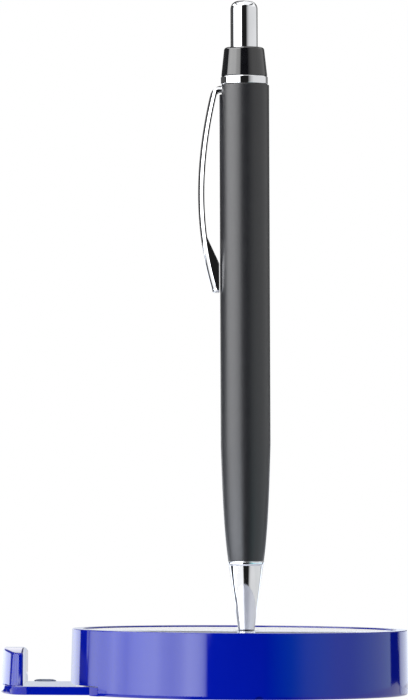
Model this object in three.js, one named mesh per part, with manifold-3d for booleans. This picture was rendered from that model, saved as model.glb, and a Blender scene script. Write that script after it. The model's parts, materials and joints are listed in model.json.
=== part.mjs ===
// Pen holder: a weighted round base with a slide-in ledge, and a click pen standing in its socket.
// Sizes are in millimetres, +Z is up, and the ledge points towards -X.
// The origin is on the base's axis, in the plane that the base stands on.
import * as THREE from 'three';
import { mergeVertices } from 'three/addons/utils/BufferGeometryUtils.js';
import Module from 'manifold-3d';

const wasm = await Module();
wasm.setup();

// How finely round forms are divided
const baseSides = 72;
const penSides = 36;
const boreSides = 20;
const filletSteps = 3;
const arcSteps = 12;

// Gaps between pieces
const fitGap = 0.05;
const runningGap = 0.15;
const seatGap = 0.3;

// Base shell
const baseRadius = 36;
const baseDraft = 0.3;
const baseHeight = 13.6;
const baseTopEdge = 0.6;
const baseFootEdge = 0.6;
const rimWidth = 2.4;
const recessDepth = 0.42;
const inlayThickness = 0.3;
const baseWall = 2;
const baseTopThickness = 2.2;
const ceilingFillet = 0.5;
const pryNotchRadius = 0.95;
const pryNotchHeight = 0.75;
const pryNotchDepth = 1.4;
const pryNotchX = 3.8;

// Grip pad under the base, which holds the shell clear of the table
const padThickness = 0.75;
const padProud = 0.2;
const padMargin = 2.6;

// Ledge for a telephone: a tongue with a curved lip, which slides in under the base
const ledgeHalfWidth = 17;
const ledgeProud = 14.8;
const ledgeThickness = 1.75;
const ledgeLift = 0.15;
const ledgeEndRadius = 42;
const ledgeCornerRadius = 3.6;
const ledgeStopGap = 0.35;
const lipHeight = 8.7;
const lipArch = 0.85;
const lipThickness = 5;
const lipEndInset = 1.7;
const lipInnerRadius = 600;
const lipLean = 0.45;
const lipTopEdge = 0.5;
const lipCornerRadius = 1.6;
const lipInnerEdge = 0.5;
const wingWidth = 2.3;
const wingThickness = 0.8;
const wingLength = 12.5;
const wingStopWall = 1.6;
const tabMargin = 0.7;
const ledgeSlitWidth = 0.8;
const ledgeSlitLength = 8;
const ledgePadLength = 4.8;
const ledgePadWidth = 3;
const ledgePadHeight = 0.45;
const ledgePadProud = 5.6;
const ledgePadEdgeGap = 0.6;

// Screws that hold the base plate to the shell
const screwAngles = [0, 95, -95];
const screwInset = 7.85;
const screwRadius = 0.95;
const screwLength = 7;
const screwHeadRadius = 2.2;
const screwHeadHeight = 1.4;
const screwSlotWidth = 0.6;
const screwSlotDepth = 0.6;
const bossWall = 1.8;
const cupWall = 1.1;
const cupRoof = 0.9;

// Pen socket and magnet. The pen leans a little in its socket, towards the ledge.
const penX = 1.45;
const penLean = 0.52;
const socketDepth = 4.13;
const socketInsertRadius = 4.1;
const socketInsertHeight = 4.7;
const socketBossWall = 1.8;
const socketMouthGap = 0.4;
const socketMouthChamfer = 0.25;
const tipWellRadius = 0.9;
const magnetHeight = 2.8;
const magnetBoreRadius = 1.3;

// Nose cone of the pen, measured up from its point
const coneTipRadius = 1.15;
const coneTopRadius = 3.78;
const coneLength = 18.9;
const coneWall = 0.4;
const coneMouthRadius = 0.62;
const coneMouthLength = 0.9;
const coneThroatRadius = 1.35;
const coneBeadHeight = 0.9;
const coneBeadProud = 0.12;
const coneSpigotRadius = 3.05;
const coneSpigotLength = 7;
const springSeatHeight = 10.5;

// Barrel, ring and collar
const barrelRadius = 5.32;
const barrelLength = 101.8;
const barrelWall = 1.32;
const barrelNeckRadius = 3.8;
const barrelTaperLength = 24.8;
const barrelTaperShare = 0.52;
const barrelTaperPower = 3.5;
const barrelTaperSteps = 8;
const barrelBoreTaper = 4;
const barrelBoreStart = 12;
const ringHeight = 1.9;
const ringInset = 0.27;
const ringEdge = 0.25;
const collarHeight = 6.15;
const collarInset = 0.37;
const collarTopRadius = 4.27;
const collarTopEdge = 0.6;
const collarSpigotDepth = 4.5;

// Button and click mechanism
const clickTravel = 5.5;
const buttonRadius = 2.925;
const buttonHeight = 10.15;
const buttonShoulder = 1.7;
const buttonDome = 0.35;
const buttonWall = 0.7;
const sleeveWall = 0.5;
const sleeveTopLand = 3.2;
const grooveCount = 4;
const grooveDepth = 0.6;
const grooveWidth = 1.4;
const crownLength = 6.2;
const crownBoreRadius = 1.3;
const toothCount = 8;
const toothHeight = 1.2;
const camRibLength = 3.5;
const camRibDrop = 1.6;
const camSocketLength = 5.5;
const camSocketWall = 0.7;
const camFloor = 1.4;
const crownSides = 4 * toothCount;

// Refill and return spring
const refillPointSetback = 1.1;
const refillPointRadius = 0.42;
const refillPointLength = 4.6;
const refillConeLength = 4.8;
const refillTipRadius = 1.15;
const refillShankLength = 4;
const refillTubeRadius = 1.6;
const refillPlugLength = 3.5;
const springLength = 13;
const springWireRadius = 0.2;
const springCoilRadius = 1.65;
const springTurns = 10;
const springStepsPerTurn = 8;
const springWireSides = 5;

// Pocket clip, measured out from the barrel and down from its root
const clipLength = 44.35;
const clipThickness = 1.35;
const clipRootStandoff = 1.5;
const clipEndStandoff = 1.54;
const clipBow = 3.12;
const clipBowSkew = 0.1;
const clipDome = 0.95;
const clipRootWidth = 4.2;
const clipFootWidth = 3.2;
const clipFootLength = 6.2;
const clipWedgeLength = 5.6;
const clipFootGap = 0.15;
const clipTabHeight = 1.7;
const clipTabDepth = 1.1;
const clipRootDrop = 0.1;
const clipShoulder = 1.9;
const clipEdge = 0.45;
const clipFootCorner = 1.05;

// Levels of the base, from the table up
const baseBottom = padProud;
const baseTop = baseBottom + baseHeight;
const recessFloor = baseTop - recessDepth;
const ceiling = recessFloor - baseTopThickness;
const ledgeBottom = baseBottom + ledgeLift;
const ledgeTop = ledgeBottom + ledgeThickness;
const slotTop = ledgeTop + runningGap;
const plateTop = ledgeTop + 2 * runningGap;
const ledgePadTop = ledgeTop + fitGap + ledgePadHeight;
const padRecessTop = padThickness + fitGap;
const counterboreTop = padRecessTop + runningGap + screwHeadHeight + fitGap;
const cupTop = counterboreTop + cupRoof;
const ballastBottom = ledgePadTop + runningGap;
const ballastTop = ceiling - seatGap;

// Plan sizes of the base
const cavityRadius = baseRadius - baseWall;
const plateRadius = cavityRadius - runningGap;
const padRadius = plateRadius - padMargin;
const inlayRadius = baseRadius - baseDraft - rimWidth - runningGap;
const screwCircle = plateRadius - screwInset;
const ledgeReach = baseRadius + ledgeProud;
const lipHalfWidth = ledgeHalfWidth - lipEndInset;
const ledgePadX = -baseRadius - ledgePadProud;
const ledgePadY = ledgeHalfWidth - ledgePadEdgeGap - ledgePadWidth / 2;
const wingHalfWidth = ledgeHalfWidth + wingWidth;
const tabHalfWidth = wingHalfWidth + tabMargin;
const wingStopX = wingStopWall - Math.sqrt(baseRadius ** 2 - wingHalfWidth ** 2);
const wingOuterX = wingStopX + seatGap;
const ledgeInnerX = wingOuterX + wingLength;
const ledgeTravel = ledgeReach - lipThickness - baseRadius - ledgeStopGap;
const channelEndX = ledgeInnerX + ledgeTravel + seatGap;
const bossRadius = screwRadius + bossWall;
const counterboreRadius = screwHeadRadius + runningGap;
const cupRadius = counterboreRadius + cupWall;
const socketBossBore = socketInsertRadius + fitGap;
const socketBossRadius = socketBossBore + socketBossWall;

// Levels of the socket and magnet
const socketSeat = recessFloor - socketDepth;
const penPointHeight = socketSeat + seatGap;
const mouthRadius = coneRadiusAt(recessFloor - penPointHeight) + socketMouthGap;
const insertTop = ceiling - fitGap;
const insertBottom = insertTop - socketInsertHeight;
const magnetTop = insertBottom - fitGap;
const magnetBottom = magnetTop - magnetHeight;

// Levels of the pen, up from its point
const barrelBottom = coneLength;
const barrelTop = barrelBottom + barrelLength;
const collarBottom = barrelTop + ringHeight;
const collarTop = collarBottom + collarHeight;
const spigotBottom = barrelTop - collarSpigotDepth;
const sleeveTop = spigotBottom - seatGap;
const grooveTop = sleeveTop - sleeveTopLand;
const crownTop = grooveTop - seatGap;
const crownBottom = crownTop - crownLength;
const camTop = crownBottom - seatGap;
const camRibTop = camTop - camRibDrop;
const sleeveBottom = camRibTop - clickTravel + seatGap;
const camFloorTop = camRibTop - camRibLength;
const camFloorBottom = camFloorTop - camFloor;
const camBottom = camFloorBottom - camSocketLength;
const buttonTop = collarTop + buttonHeight;
const buttonBottom = sleeveTop + clickTravel + seatGap;
const refillPoint = refillPointSetback;
const springBottom = springSeatHeight + fitGap;
const tubeBottom = springSeatHeight + springLength;
const tubeTop = camFloorBottom - seatGap;

// Radii of the pen that follow from its neighbours
const barrelBore = barrelRadius - barrelWall;
const neckBore = coneSpigotRadius + runningGap;
const collarBore = buttonRadius + runningGap;
const spigotRadius = barrelBore - fitGap;
const sleeveOuter = barrelBore - fitGap;
const grooveRadius = sleeveOuter - sleeveWall;
const sleeveBore = grooveRadius - grooveDepth;
const crownRadius = sleeveBore - runningGap;
const ribRadius = grooveRadius - runningGap;
const ribWidth = grooveWidth - 2 * runningGap;
const buttonBore = buttonRadius - buttonWall;
const stemRadius = buttonBore - fitGap;
const tubeBore = refillTipRadius + fitGap;
const camSocketBore = refillTubeRadius + runningGap;
const springBore = springCoilRadius + springWireRadius + runningGap;

// Finishes
const finishes = {
  blue: { color: 0x0014a0, roughness: 0.12, metalness: 0 },
  matteBlack: { color: 0x1b1b1d, roughness: 0.55, metalness: 0 },
  glossBlack: { color: 0x0d0d0f, roughness: 0.12, metalness: 0 },
  chrome: { color: 0xd8dadd, roughness: 0.08, metalness: 1 },
  steel: { color: 0x9a9ca0, roughness: 0.35, metalness: 1 },
  brass: { color: 0xb9984f, roughness: 0.3, metalness: 1 },
  rubber: { color: 0x2a2d33, roughness: 0.9, metalness: 0 },
  padRubber: { color: 0x8593a6, roughness: 0.8, metalness: 0 },
  inlay: { color: 0xeceef0, roughness: 0.2, metalness: 0 },
  whitePlastic: { color: 0xe6e6e2, roughness: 0.45, metalness: 0 },
  clearPlastic: { color: 0xc9d3dc, roughness: 0.3, metalness: 0 },
};

// Rounds the corners of an outline. A corner is [x, y] or [x, y, radius].
function roundCorners(corners) {
  const points = [];
  corners.forEach(([x, y, radius = 0], index) => {
    const corner = new THREE.Vector2(x, y);
    if (radius === 0) {
      points.push(corner);
      return;
    }
    const before = corners[(index + corners.length - 1) % corners.length];
    const after = corners[(index + 1) % corners.length];
    const back = new THREE.Vector2(before[0], before[1]).sub(corner).normalize();
    const onward = new THREE.Vector2(after[0], after[1]).sub(corner).normalize();
    const halfAngle = Math.acos(back.dot(onward)) / 2;
    const reach = radius / Math.tan(halfAngle);
    const middle = back.clone().add(onward).normalize();
    const centre = middle.multiplyScalar(radius / Math.sin(halfAngle)).add(corner);
    const from = back.multiplyScalar(reach).add(corner).sub(centre).angle();
    const to = onward.multiplyScalar(reach).add(corner).sub(centre).angle();
    const turn = THREE.MathUtils.euclideanModulo(to - from + Math.PI, 2 * Math.PI) - Math.PI;
    for (let step = 0; step <= filletSteps; step += 1) {
      const angle = from + (turn * step) / filletSteps;
      points.push(new THREE.Vector2(Math.cos(angle), Math.sin(angle)).multiplyScalar(radius).add(centre));
    }
  });
  return points;
}

// Merges shared corners, drops empty triangles and turns the faces outwards.
function weld(geometry) {
  geometry.deleteAttribute('normal');
  geometry.deleteAttribute('uv');
  const welded = mergeVertices(geometry, 1e-4);
  const position = welded.getAttribute('position');
  const index = [];
  let volume = 0;
  for (let i = 0; i < welded.index.count; i += 3) {
    const [a, b, c] = [0, 1, 2].map((corner) => welded.index.getX(i + corner));
    if (a !== b && b !== c && c !== a) {
      index.push(a, b, c);
      const [p, q, r] = [a, b, c].map((vertex) => new THREE.Vector3().fromBufferAttribute(position, vertex));
      volume += p.dot(q.cross(r));
    }
  }
  welded.setIndex(volume < 0 ? index.reverse() : index);
  return welded;
}

function toSolid(geometry) {
  return new wasm.Manifold(new wasm.Mesh({
    numProp: 3,
    vertProperties: new Float32Array(geometry.getAttribute('position').array),
    triVerts: new Uint32Array(geometry.index.array),
  }));
}

function toGeometry(solid) {
  const { vertProperties, triVerts } = solid.getMesh();
  const geometry = new THREE.BufferGeometry();
  geometry.setAttribute('position', new THREE.BufferAttribute(vertProperties, 3));
  geometry.setIndex(new THREE.BufferAttribute(triVerts, 1));
  return geometry;
}

// Joins the pieces of the first list and cuts the pieces of the second list out of them.
function build(joined, cut = []) {
  const body = joined.map(toSolid).reduce((sum, solid) => sum.add(solid));
  return toGeometry(cut.map(toSolid).reduce((rest, solid) => rest.subtract(solid), body));
}

// A profile of [radius, height] corners turned about the Z axis.
function revolve(corners, sides, closed = false) {
  const points = roundCorners(corners);
  if (closed) {
    points.push(points[0].clone());
  }
  return weld(new THREE.LatheGeometry(points, sides).rotateX(Math.PI / 2));
}

function rod(radius, bottom, top, x = 0, y = 0, sides = boreSides) {
  const geometry = new THREE.CylinderGeometry(radius, radius, top - bottom, sides).rotateX(Math.PI / 2);
  return weld(geometry.translate(x, y, (bottom + top) / 2));
}

function block(left, right, front, back, bottom, top) {
  const geometry = new THREE.BoxGeometry(right - left, back - front, top - bottom);
  return weld(geometry.translate((left + right) / 2, (front + back) / 2, (bottom + top) / 2));
}

// An outline in plan, raised from one level to another.
function slab(points, bottom, top) {
  const settings = { depth: top - bottom, bevelEnabled: false };
  return weld(new THREE.ExtrudeGeometry(new THREE.Shape(points), settings).translate(0, 0, bottom));
}

// A closed body through outlines of equal point counts, one above the other. Its two ends are closed by
// strips between the outline's first and second half, so that an end may be arched afterwards.
function loft(levels) {
  const count = levels[0].points.length;
  const positions = levels.flatMap(({ points, z }) => points.flatMap((point) => [point.x, point.y, z]));
  const index = [];
  for (let level = 0; level + 1 < levels.length; level += 1) {
    for (let i = 0; i < count; i += 1) {
      const a = level * count + i;
      const b = level * count + ((i + 1) % count);
      index.push(a, b, b + count, a, b + count, a + count);
    }
  }
  const top = (levels.length - 1) * count;
  for (let i = 0, j = count - 1; i + 1 < j; i += 1, j -= 1) {
    index.push(j, i + 1, i, top + i, top + i + 1, top + j);
    if (i + 2 < j) {
      index.push(j, j - 1, i + 1, top + i + 1, top + j - 1, top + j);
    }
  }
  const geometry = new THREE.BufferGeometry();
  geometry.setAttribute('position', new THREE.Float32BufferAttribute(positions, 3));
  geometry.setIndex(index);
  return weld(geometry);
}

function ringOf(angles, radius, make) {
  return angles.map((angle) => {
    const turn = THREE.MathUtils.degToRad(angle);
    return make(radius * Math.cos(turn), radius * Math.sin(turn));
  });
}

function coneRadiusAt(height) {
  return coneTipRadius + ((coneTopRadius - coneTipRadius) * height) / coneLength;
}

// The shell: rim and recessed top, drafted side, open underside, bosses, the slot for the ledge
// and a groove in that slot's roof for the ledge's pad.
function baseShell() {
  const cut = 1;
  const topRadius = baseRadius - baseDraft;
  const body = revolve([
    [0, ceiling],
    [topRadius - baseWall, ceiling, ceilingFillet],
    [cavityRadius, baseBottom],
    [baseRadius, baseBottom, baseFootEdge],
    [topRadius, baseTop, baseTopEdge],
    [topRadius - rimWidth, baseTop, recessDepth / 3],
    [topRadius - rimWidth, recessFloor],
    [0, recessFloor],
  ], baseSides);
  const mouthChamfer = revolve([
    [0, recessFloor - socketMouthChamfer],
    [mouthRadius, recessFloor - socketMouthChamfer],
    [mouthRadius + 2 * socketMouthChamfer, recessFloor + socketMouthChamfer],
    [0, recessFloor + socketMouthChamfer],
  ], penSides).translate(penX, 0, 0);
  const notch = new THREE.CylinderGeometry(pryNotchRadius, pryNotchRadius, 2 * pryNotchDepth, boreSides);
  notch.translate(pryNotchX, -baseRadius, baseBottom + pryNotchHeight - pryNotchRadius);
  const grooveEnd = ledgePadX + ledgePadLength / 2 + ledgeTravel + seatGap;
  const grooveHalf = ledgePadWidth / 2 + runningGap;
  return build([
    body,
    rod(socketBossRadius, magnetBottom, recessFloor - recessDepth, penX, 0, penSides),
    ...ringOf(screwAngles, screwCircle, (x, y) => (
      rod(bossRadius, cupTop + runningGap, recessFloor - recessDepth, x, y))),
  ], [
    rod(socketBossBore, magnetBottom - cut, ceiling, penX, 0, penSides),
    rod(mouthRadius, ceiling - cut, recessFloor + cut, penX, 0, penSides),
    mouthChamfer,
    ...ringOf(screwAngles, screwCircle, (x, y) => rod(screwRadius + fitGap, cupTop, ceiling - fitGap, x, y)),
    block(-baseRadius - cut, -cavityRadius / 2, -tabHalfWidth - runningGap, tabHalfWidth + runningGap,
      baseBottom - cut, slotTop),
    block(-baseRadius - cut, grooveEnd, ledgePadY - grooveHalf, ledgePadY + grooveHalf,
      baseBottom - cut, ledgePadTop + runningGap),
    weld(notch),
  ]);
}

// A thin pale disc that fills the recess, with a hole for the pen.
function topInlay() {
  const cut = 1;
  const bottom = recessFloor + fitGap;
  const top = bottom + inlayThickness;
  const hole = mouthRadius + 2 * socketMouthChamfer + runningGap;
  return build([
    rod(inlayRadius, bottom, top, 0, 0, baseSides),
  ], [
    rod(hole, bottom - cut, top + cut, penX, 0, penSides),
  ]);
}

function padOutline(radius, slotHalfWidth, slotEndX) {
  const start = Math.PI - Math.asin(slotHalfWidth / radius);
  const points = [];
  for (let step = 0; step <= baseSides / 2; step += 1) {
    const angle = -start + (2 * start * step) / (baseSides / 2);
    points.push(new THREE.Vector2(radius * Math.cos(angle), radius * Math.sin(angle)));
  }
  points.push(new THREE.Vector2(slotEndX, slotHalfWidth));
  points.push(new THREE.Vector2(slotEndX, -slotHalfWidth));
  return points;
}

// The plate: closes the shell from below and guides the ledge between two rebated edges.
function basePlate() {
  const cut = 1;
  const tab = block(-baseRadius - cut, -plateRadius / 2, -tabHalfWidth, tabHalfWidth, baseBottom, ledgeTop);
  const flush = rod(baseRadius - fitGap, baseBottom - cut, ledgeTop + cut, 0, 0, baseSides);
  const flushTab = toGeometry(toSolid(tab).intersect(toSolid(flush)));
  const padSlot = tabHalfWidth + runningGap;
  const padSlotEnd = channelEndX + cupWall;
  return build([
    rod(plateRadius, baseBottom, plateTop, 0, 0, baseSides),
    flushTab,
    rod(socketInsertRadius, plateTop - runningGap, magnetBottom - runningGap, penX, 0, penSides),
    ...ringOf(screwAngles, screwCircle, (x, y) => rod(cupRadius, plateTop - runningGap, cupTop, x, y)),
  ], [
    block(-baseRadius - cut, channelEndX, -ledgeHalfWidth - runningGap, ledgeHalfWidth + runningGap,
      baseBottom - cut, plateTop + cut),
    block(wingStopX, channelEndX, -wingHalfWidth - runningGap, wingHalfWidth + runningGap,
      ledgeTop - wingThickness - runningGap, plateTop + cut),
    slab(padOutline(padRadius + runningGap, padSlot, padSlotEnd), baseBottom - cut, padRecessTop),
    ...ringOf(screwAngles, screwCircle, (x, y) => (
      rod(counterboreRadius, padRecessTop - cut, counterboreTop, x, y))),
    ...ringOf(screwAngles, screwCircle, (x, y) => (
      rod(screwRadius + seatGap, counterboreTop - cut, cupTop + cut, x, y))),
  ]);
}

function gripPad() {
  const padSlot = tabHalfWidth + 2 * runningGap;
  const padSlotEnd = channelEndX + cupWall + runningGap;
  return slab(padOutline(padRadius, padSlot, padSlotEnd), 0, padThickness);
}

function ballast() {
  const cut = 1;
  const radius = cavityRadius - baseDraft - seatGap;
  return build([
    revolve([
      [0, ballastBottom],
      [radius, ballastBottom],
      [radius, ballastTop - ceilingFillet],
      [radius - ceilingFillet, ballastTop],
      [0, ballastTop],
    ], baseSides),
  ], [
    rod(socketBossRadius + seatGap, ballastBottom - cut, ballastTop + cut, penX, 0, penSides),
    ...ringOf(screwAngles, screwCircle, (x, y) => (
      rod(cupRadius + seatGap, ballastBottom - cut, ballastTop + cut, x, y))),
  ]);
}

function penSocket() {
  const seatRadius = coneTipRadius + runningGap;
  const topRadius = coneRadiusAt(insertTop - penPointHeight) + runningGap;
  return revolve([
    [tipWellRadius, insertBottom],
    [socketInsertRadius, insertBottom],
    [socketInsertRadius, insertTop],
    [topRadius, insertTop],
    [seatRadius, socketSeat],
    [tipWellRadius, socketSeat],
  ], penSides, true);
}

function magnet() {
  return revolve([
    [magnetBoreRadius, magnetBottom],
    [socketInsertRadius, magnetBottom],
    [socketInsertRadius, magnetTop],
    [magnetBoreRadius, magnetTop],
  ], penSides, true);
}

// A pan-head screw, driven from below, with a cross recess.
function screw() {
  const cut = 1;
  const headBottom = padRecessTop + runningGap;
  const headTop = headBottom + screwHeadHeight;
  const body = revolve([
    [0, headBottom],
    [screwHeadRadius, headBottom, screwHeadHeight / 2],
    [screwHeadRadius, headTop],
    [screwRadius, headTop],
    [screwRadius, headTop + screwLength - screwRadius],
    [0, headTop + screwLength],
  ], boreSides);
  const half = screwSlotWidth / 2;
  const arm = screwHeadRadius / 2;
  return build([body], [
    block(-arm, arm, -half, half, headBottom - cut, headBottom + screwSlotDepth),
    block(-half, half, -arm, arm, headBottom - cut, headBottom + screwSlotDepth),
  ]);
}

// An arc across the ledge's end, from one side to the other, that lies furthest out at apexX.
function endArc(apexX, radius, halfWidth) {
  const points = [];
  for (let step = 0; step <= arcSteps; step += 1) {
    const y = halfWidth * (1 - (2 * step) / arcSteps);
    points.push([apexX + radius - Math.sqrt(radius ** 2 - y ** 2), y]);
  }
  return points;
}

// The lip in plan: a round outer face, an inner face that is almost straight, and corners that fit its ends.
function lipOutline(outerX, innerX, halfWidth, outerCorner, innerCorner) {
  const outer = endArc(outerX, ledgeEndRadius, halfWidth);
  const inner = endArc(innerX, lipInnerRadius, halfWidth).reverse();
  const endWidth = inner[0][0] - outer[0][0];
  const endCorner = Math.min(outerCorner, endWidth - innerCorner);
  [outer[0], outer[arcSteps]].forEach((corner) => corner.push(endCorner));
  [inner[0], inner[arcSteps]].forEach((corner) => corner.push(innerCorner));
  return roundCorners([...outer, ...inner]);
}

// Raises the middle of the lip above its ends, and leaves its foot where it is.
function archLip(geometry) {
  const position = geometry.getAttribute('position');
  for (let i = 0; i < position.count; i += 1) {
    const z = position.getZ(i);
    const across = position.getY(i) / lipHalfWidth;
    position.setZ(i, z + lipArch * ((z - ledgeBottom) / lipHeight) * (1 - across ** 2));
  }
  return geometry;
}

// Tongue and lip in one moulding, with side wings that run over the plate's rebates.
function phoneLedge() {
  const cut = 1;
  const lipTop = ledgeBottom + lipHeight;
  const levels = [{ z: ledgeBottom, inset: 0 }];
  for (let step = 0; step <= filletSteps; step += 1) {
    const angle = (Math.PI / 2) * (step / filletSteps);
    const inset = lipTopEdge * (1 - Math.cos(angle));
    levels.push({ z: lipTop - lipTopEdge * (1 - Math.sin(angle)), inset });
  }
  const lip = loft(levels.map(({ z, inset }) => {
    const outerX = -ledgeReach + lipLean * ((z - ledgeBottom) / lipHeight) + inset;
    const innerX = -ledgeReach + lipThickness - inset;
    const innerCorner = Math.max(lipInnerEdge - inset, fitGap);
    const outerCorner = lipCornerRadius - inset;
    return { points: lipOutline(outerX, innerX, lipHalfWidth - inset, outerCorner, innerCorner), z };
  }));
  const tongueEnd = endArc(-ledgeReach + fitGap, ledgeEndRadius, ledgeHalfWidth);
  [tongueEnd[0], tongueEnd[arcSteps]].forEach((corner) => corner.push(ledgeCornerRadius));
  const tongue = roundCorners([...tongueEnd, [ledgeInnerX, -ledgeHalfWidth], [ledgeInnerX, ledgeHalfWidth]]);
  const wings = [1, -1].map((side) => {
    const edges = [side * (ledgeHalfWidth - wingWidth), side * wingHalfWidth].sort((a, b) => a - b);
    return block(wingOuterX, ledgeInnerX, ...edges, ledgeTop - wingThickness, ledgeTop);
  });
  const slits = [1, -1].map((side) => {
    const middle = side * (ledgeHalfWidth - wingWidth);
    return block(ledgeInnerX - ledgeSlitLength, ledgeInnerX + cut, middle - ledgeSlitWidth / 2,
      middle + ledgeSlitWidth / 2, ledgeBottom - cut, ledgeTop + cut);
  });
  return build([
    archLip(lip),
    slab(tongue, ledgeBottom, ledgeTop),
    ...wings,
  ], slits);
}

function ledgePad() {
  const outline = new THREE.EllipseCurve(0, 0, ledgePadLength / 2, ledgePadWidth / 2).getPoints(boreSides);
  outline.pop();
  const bottom = ledgeTop + fitGap;
  const shrink = 0.8;
  const small = outline.map((point) => point.clone().multiplyScalar(shrink));
  const levels = [
    { points: outline, z: bottom },
    { points: outline, z: bottom + ledgePadHeight / 2 },
    { points: small, z: ledgePadTop },
  ];
  return loft(levels).translate(ledgePadX, ledgePadY, 0);
}

// Nose cone with a bead under the barrel, a spigot inside it and a stepped bore for refill and spring.
function noseCone() {
  const coneSlope = (coneTopRadius - coneTipRadius) / coneLength;
  const throatHeight = (coneThroatRadius + coneWall - coneTipRadius) / coneSlope;
  const beadRadius = coneTopRadius + coneBeadProud;
  const beadBottom = coneLength - coneBeadHeight;
  return revolve([
    [coneMouthRadius, 0],
    [coneTipRadius, 0, coneBeadProud],
    [coneRadiusAt(beadBottom), beadBottom],
    [beadRadius, beadBottom + coneBeadHeight / 4],
    [beadRadius, coneLength - fitGap, coneBeadProud],
    [coneSpigotRadius, coneLength - fitGap],
    [coneSpigotRadius, coneLength + coneSpigotLength],
    [springBore, coneLength + coneSpigotLength],
    [springBore, springSeatHeight],
    [coneThroatRadius, springSeatHeight],
    [coneThroatRadius, throatHeight],
    [coneRadiusAt(coneMouthLength) - coneWall, coneMouthLength],
    [coneMouthRadius, coneMouthLength],
  ], penSides, true);
}

// Barrel: a long tube that narrows to the nose, with a notch in its top edge for the clip.
function barrel() {
  const cut = 1;
  const taper = [];
  for (let step = 0; step <= barrelTaperSteps; step += 1) {
    const share = 1 - step / barrelTaperSteps;
    const drop = barrelTaperShare * share + (1 - barrelTaperShare) * share ** barrelTaperPower;
    const radius = barrelRadius - (barrelRadius - barrelNeckRadius) * drop;
    taper.push([radius, barrelBottom + barrelTaperLength * (1 - share)]);
  }
  const boreTop = barrelBottom + barrelBoreStart;
  const body = revolve([
    [neckBore, barrelBottom],
    ...taper,
    [barrelRadius, barrelTop, fitGap],
    [barrelBore, barrelTop],
    [barrelBore, boreTop],
    [neckBore, boreTop - barrelBoreTaper],
  ], penSides, true);
  const half = clipRootWidth / 2 + runningGap;
  const notchBottom = barrelTop - clipRootDrop - clipTabHeight - seatGap;
  return build([body], [
    block(-barrelRadius - cut, -barrelBore + barrelWall, -half, half, notchBottom, barrelTop + cut),
  ]);
}

function trimRing() {
  const radius = barrelRadius - ringInset;
  return revolve([
    [spigotRadius + fitGap, barrelTop + fitGap],
    [radius, barrelTop + fitGap, ringEdge],
    [radius, collarBottom - fitGap, ringEdge],
    [spigotRadius + fitGap, collarBottom - fitGap],
  ], penSides, true);
}

function topCollar() {
  return revolve([
    [collarBore, spigotBottom],
    [spigotRadius, spigotBottom],
    [spigotRadius, collarBottom],
    [barrelRadius - collarInset, collarBottom, fitGap],
    [collarTopRadius, collarTop, collarTopEdge],
    [collarBore, collarTop],
  ], penSides, true);
}

// Hollow button with a rounded shoulder and a shallow dome.
function pushButton() {
  const shoulder = buttonTop - buttonDome;
  return revolve([
    [0, buttonTop - buttonDome - buttonWall],
    [buttonBore, buttonTop - buttonDome - buttonWall],
    [buttonBore, buttonBottom],
    [buttonRadius, buttonBottom, fitGap],
    [buttonRadius, shoulder, buttonShoulder],
    [0, buttonTop],
  ], penSides);
}

// A tube whose lower or upper end is a ring of pointed teeth.
function crownTube(outer, inner, bottom, top, toothedEnd) {
  const sides = crownSides;
  const rings = { outerBottom: [], outerTop: [], innerTop: [], innerBottom: [] };
  for (let i = 0; i < sides; i += 1) {
    const angle = (2 * Math.PI * i) / sides;
    const across = THREE.MathUtils.euclideanModulo((toothCount * i) / sides, 1);
    const tooth = toothHeight * Math.abs(1 - 2 * across);
    const low = toothedEnd === 'bottom' ? bottom + tooth : bottom;
    const high = toothedEnd === 'top' ? top + tooth : top;
    const at = (radius, z) => [radius * Math.cos(angle), radius * Math.sin(angle), z];
    rings.outerBottom.push(at(outer, low));
    rings.outerTop.push(at(outer, high));
    rings.innerTop.push(at(inner, high));
    rings.innerBottom.push(at(inner, low));
  }
  const loops = Object.values(rings);
  const index = [];
  loops.forEach((loop, l) => {
    for (let i = 0; i < sides; i += 1) {
      const next = (i + 1) % sides;
      const here = l * sides;
      const beyond = ((l + 1) % loops.length) * sides;
      index.push(here + i, here + next, beyond + next, here + i, beyond + next, beyond + i);
    }
  });
  const geometry = new THREE.BufferGeometry();
  geometry.setAttribute('position', new THREE.Float32BufferAttribute(loops.flat(2), 3));
  geometry.setIndex(index);
  return weld(geometry);
}

// Ribs that stand out of a round core, evenly spaced, between two levels.
function ribs(outer, width, bottom, top) {
  return Array.from({ length: grooveCount }, (_, i) => {
    const rib = block(crownBoreRadius + fitGap, outer, -width / 2, width / 2, bottom, top);
    return rib.rotateZ((2 * Math.PI * i) / grooveCount);
  });
}

// Sleeve fixed in the barrel: its grooves guide the ribs of plunger and cam.
function camSleeve() {
  const cut = 1;
  const body = revolve([
    [sleeveBore, sleeveBottom],
    [sleeveOuter, sleeveBottom],
    [sleeveOuter, sleeveTop],
    [sleeveBore, sleeveTop],
  ], penSides, true);
  return build([body], ribs(grooveRadius, grooveWidth, sleeveBottom - cut, grooveTop));
}

// Plunger: a stem pressed into the button, over a ribbed crown that pushes the cam.
function plunger() {
  const stemBottom = crownBottom + 2 * toothHeight;
  const stemTop = buttonTop - buttonDome - buttonWall - fitGap;
  return build([
    crownTube(crownRadius, crownBoreRadius, crownBottom, crownTop, 'bottom'),
    rod(stemRadius, stemBottom, stemTop, 0, 0, crownSides),
    ...ribs(ribRadius, ribWidth, stemBottom, crownTop),
  ]);
}

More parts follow.
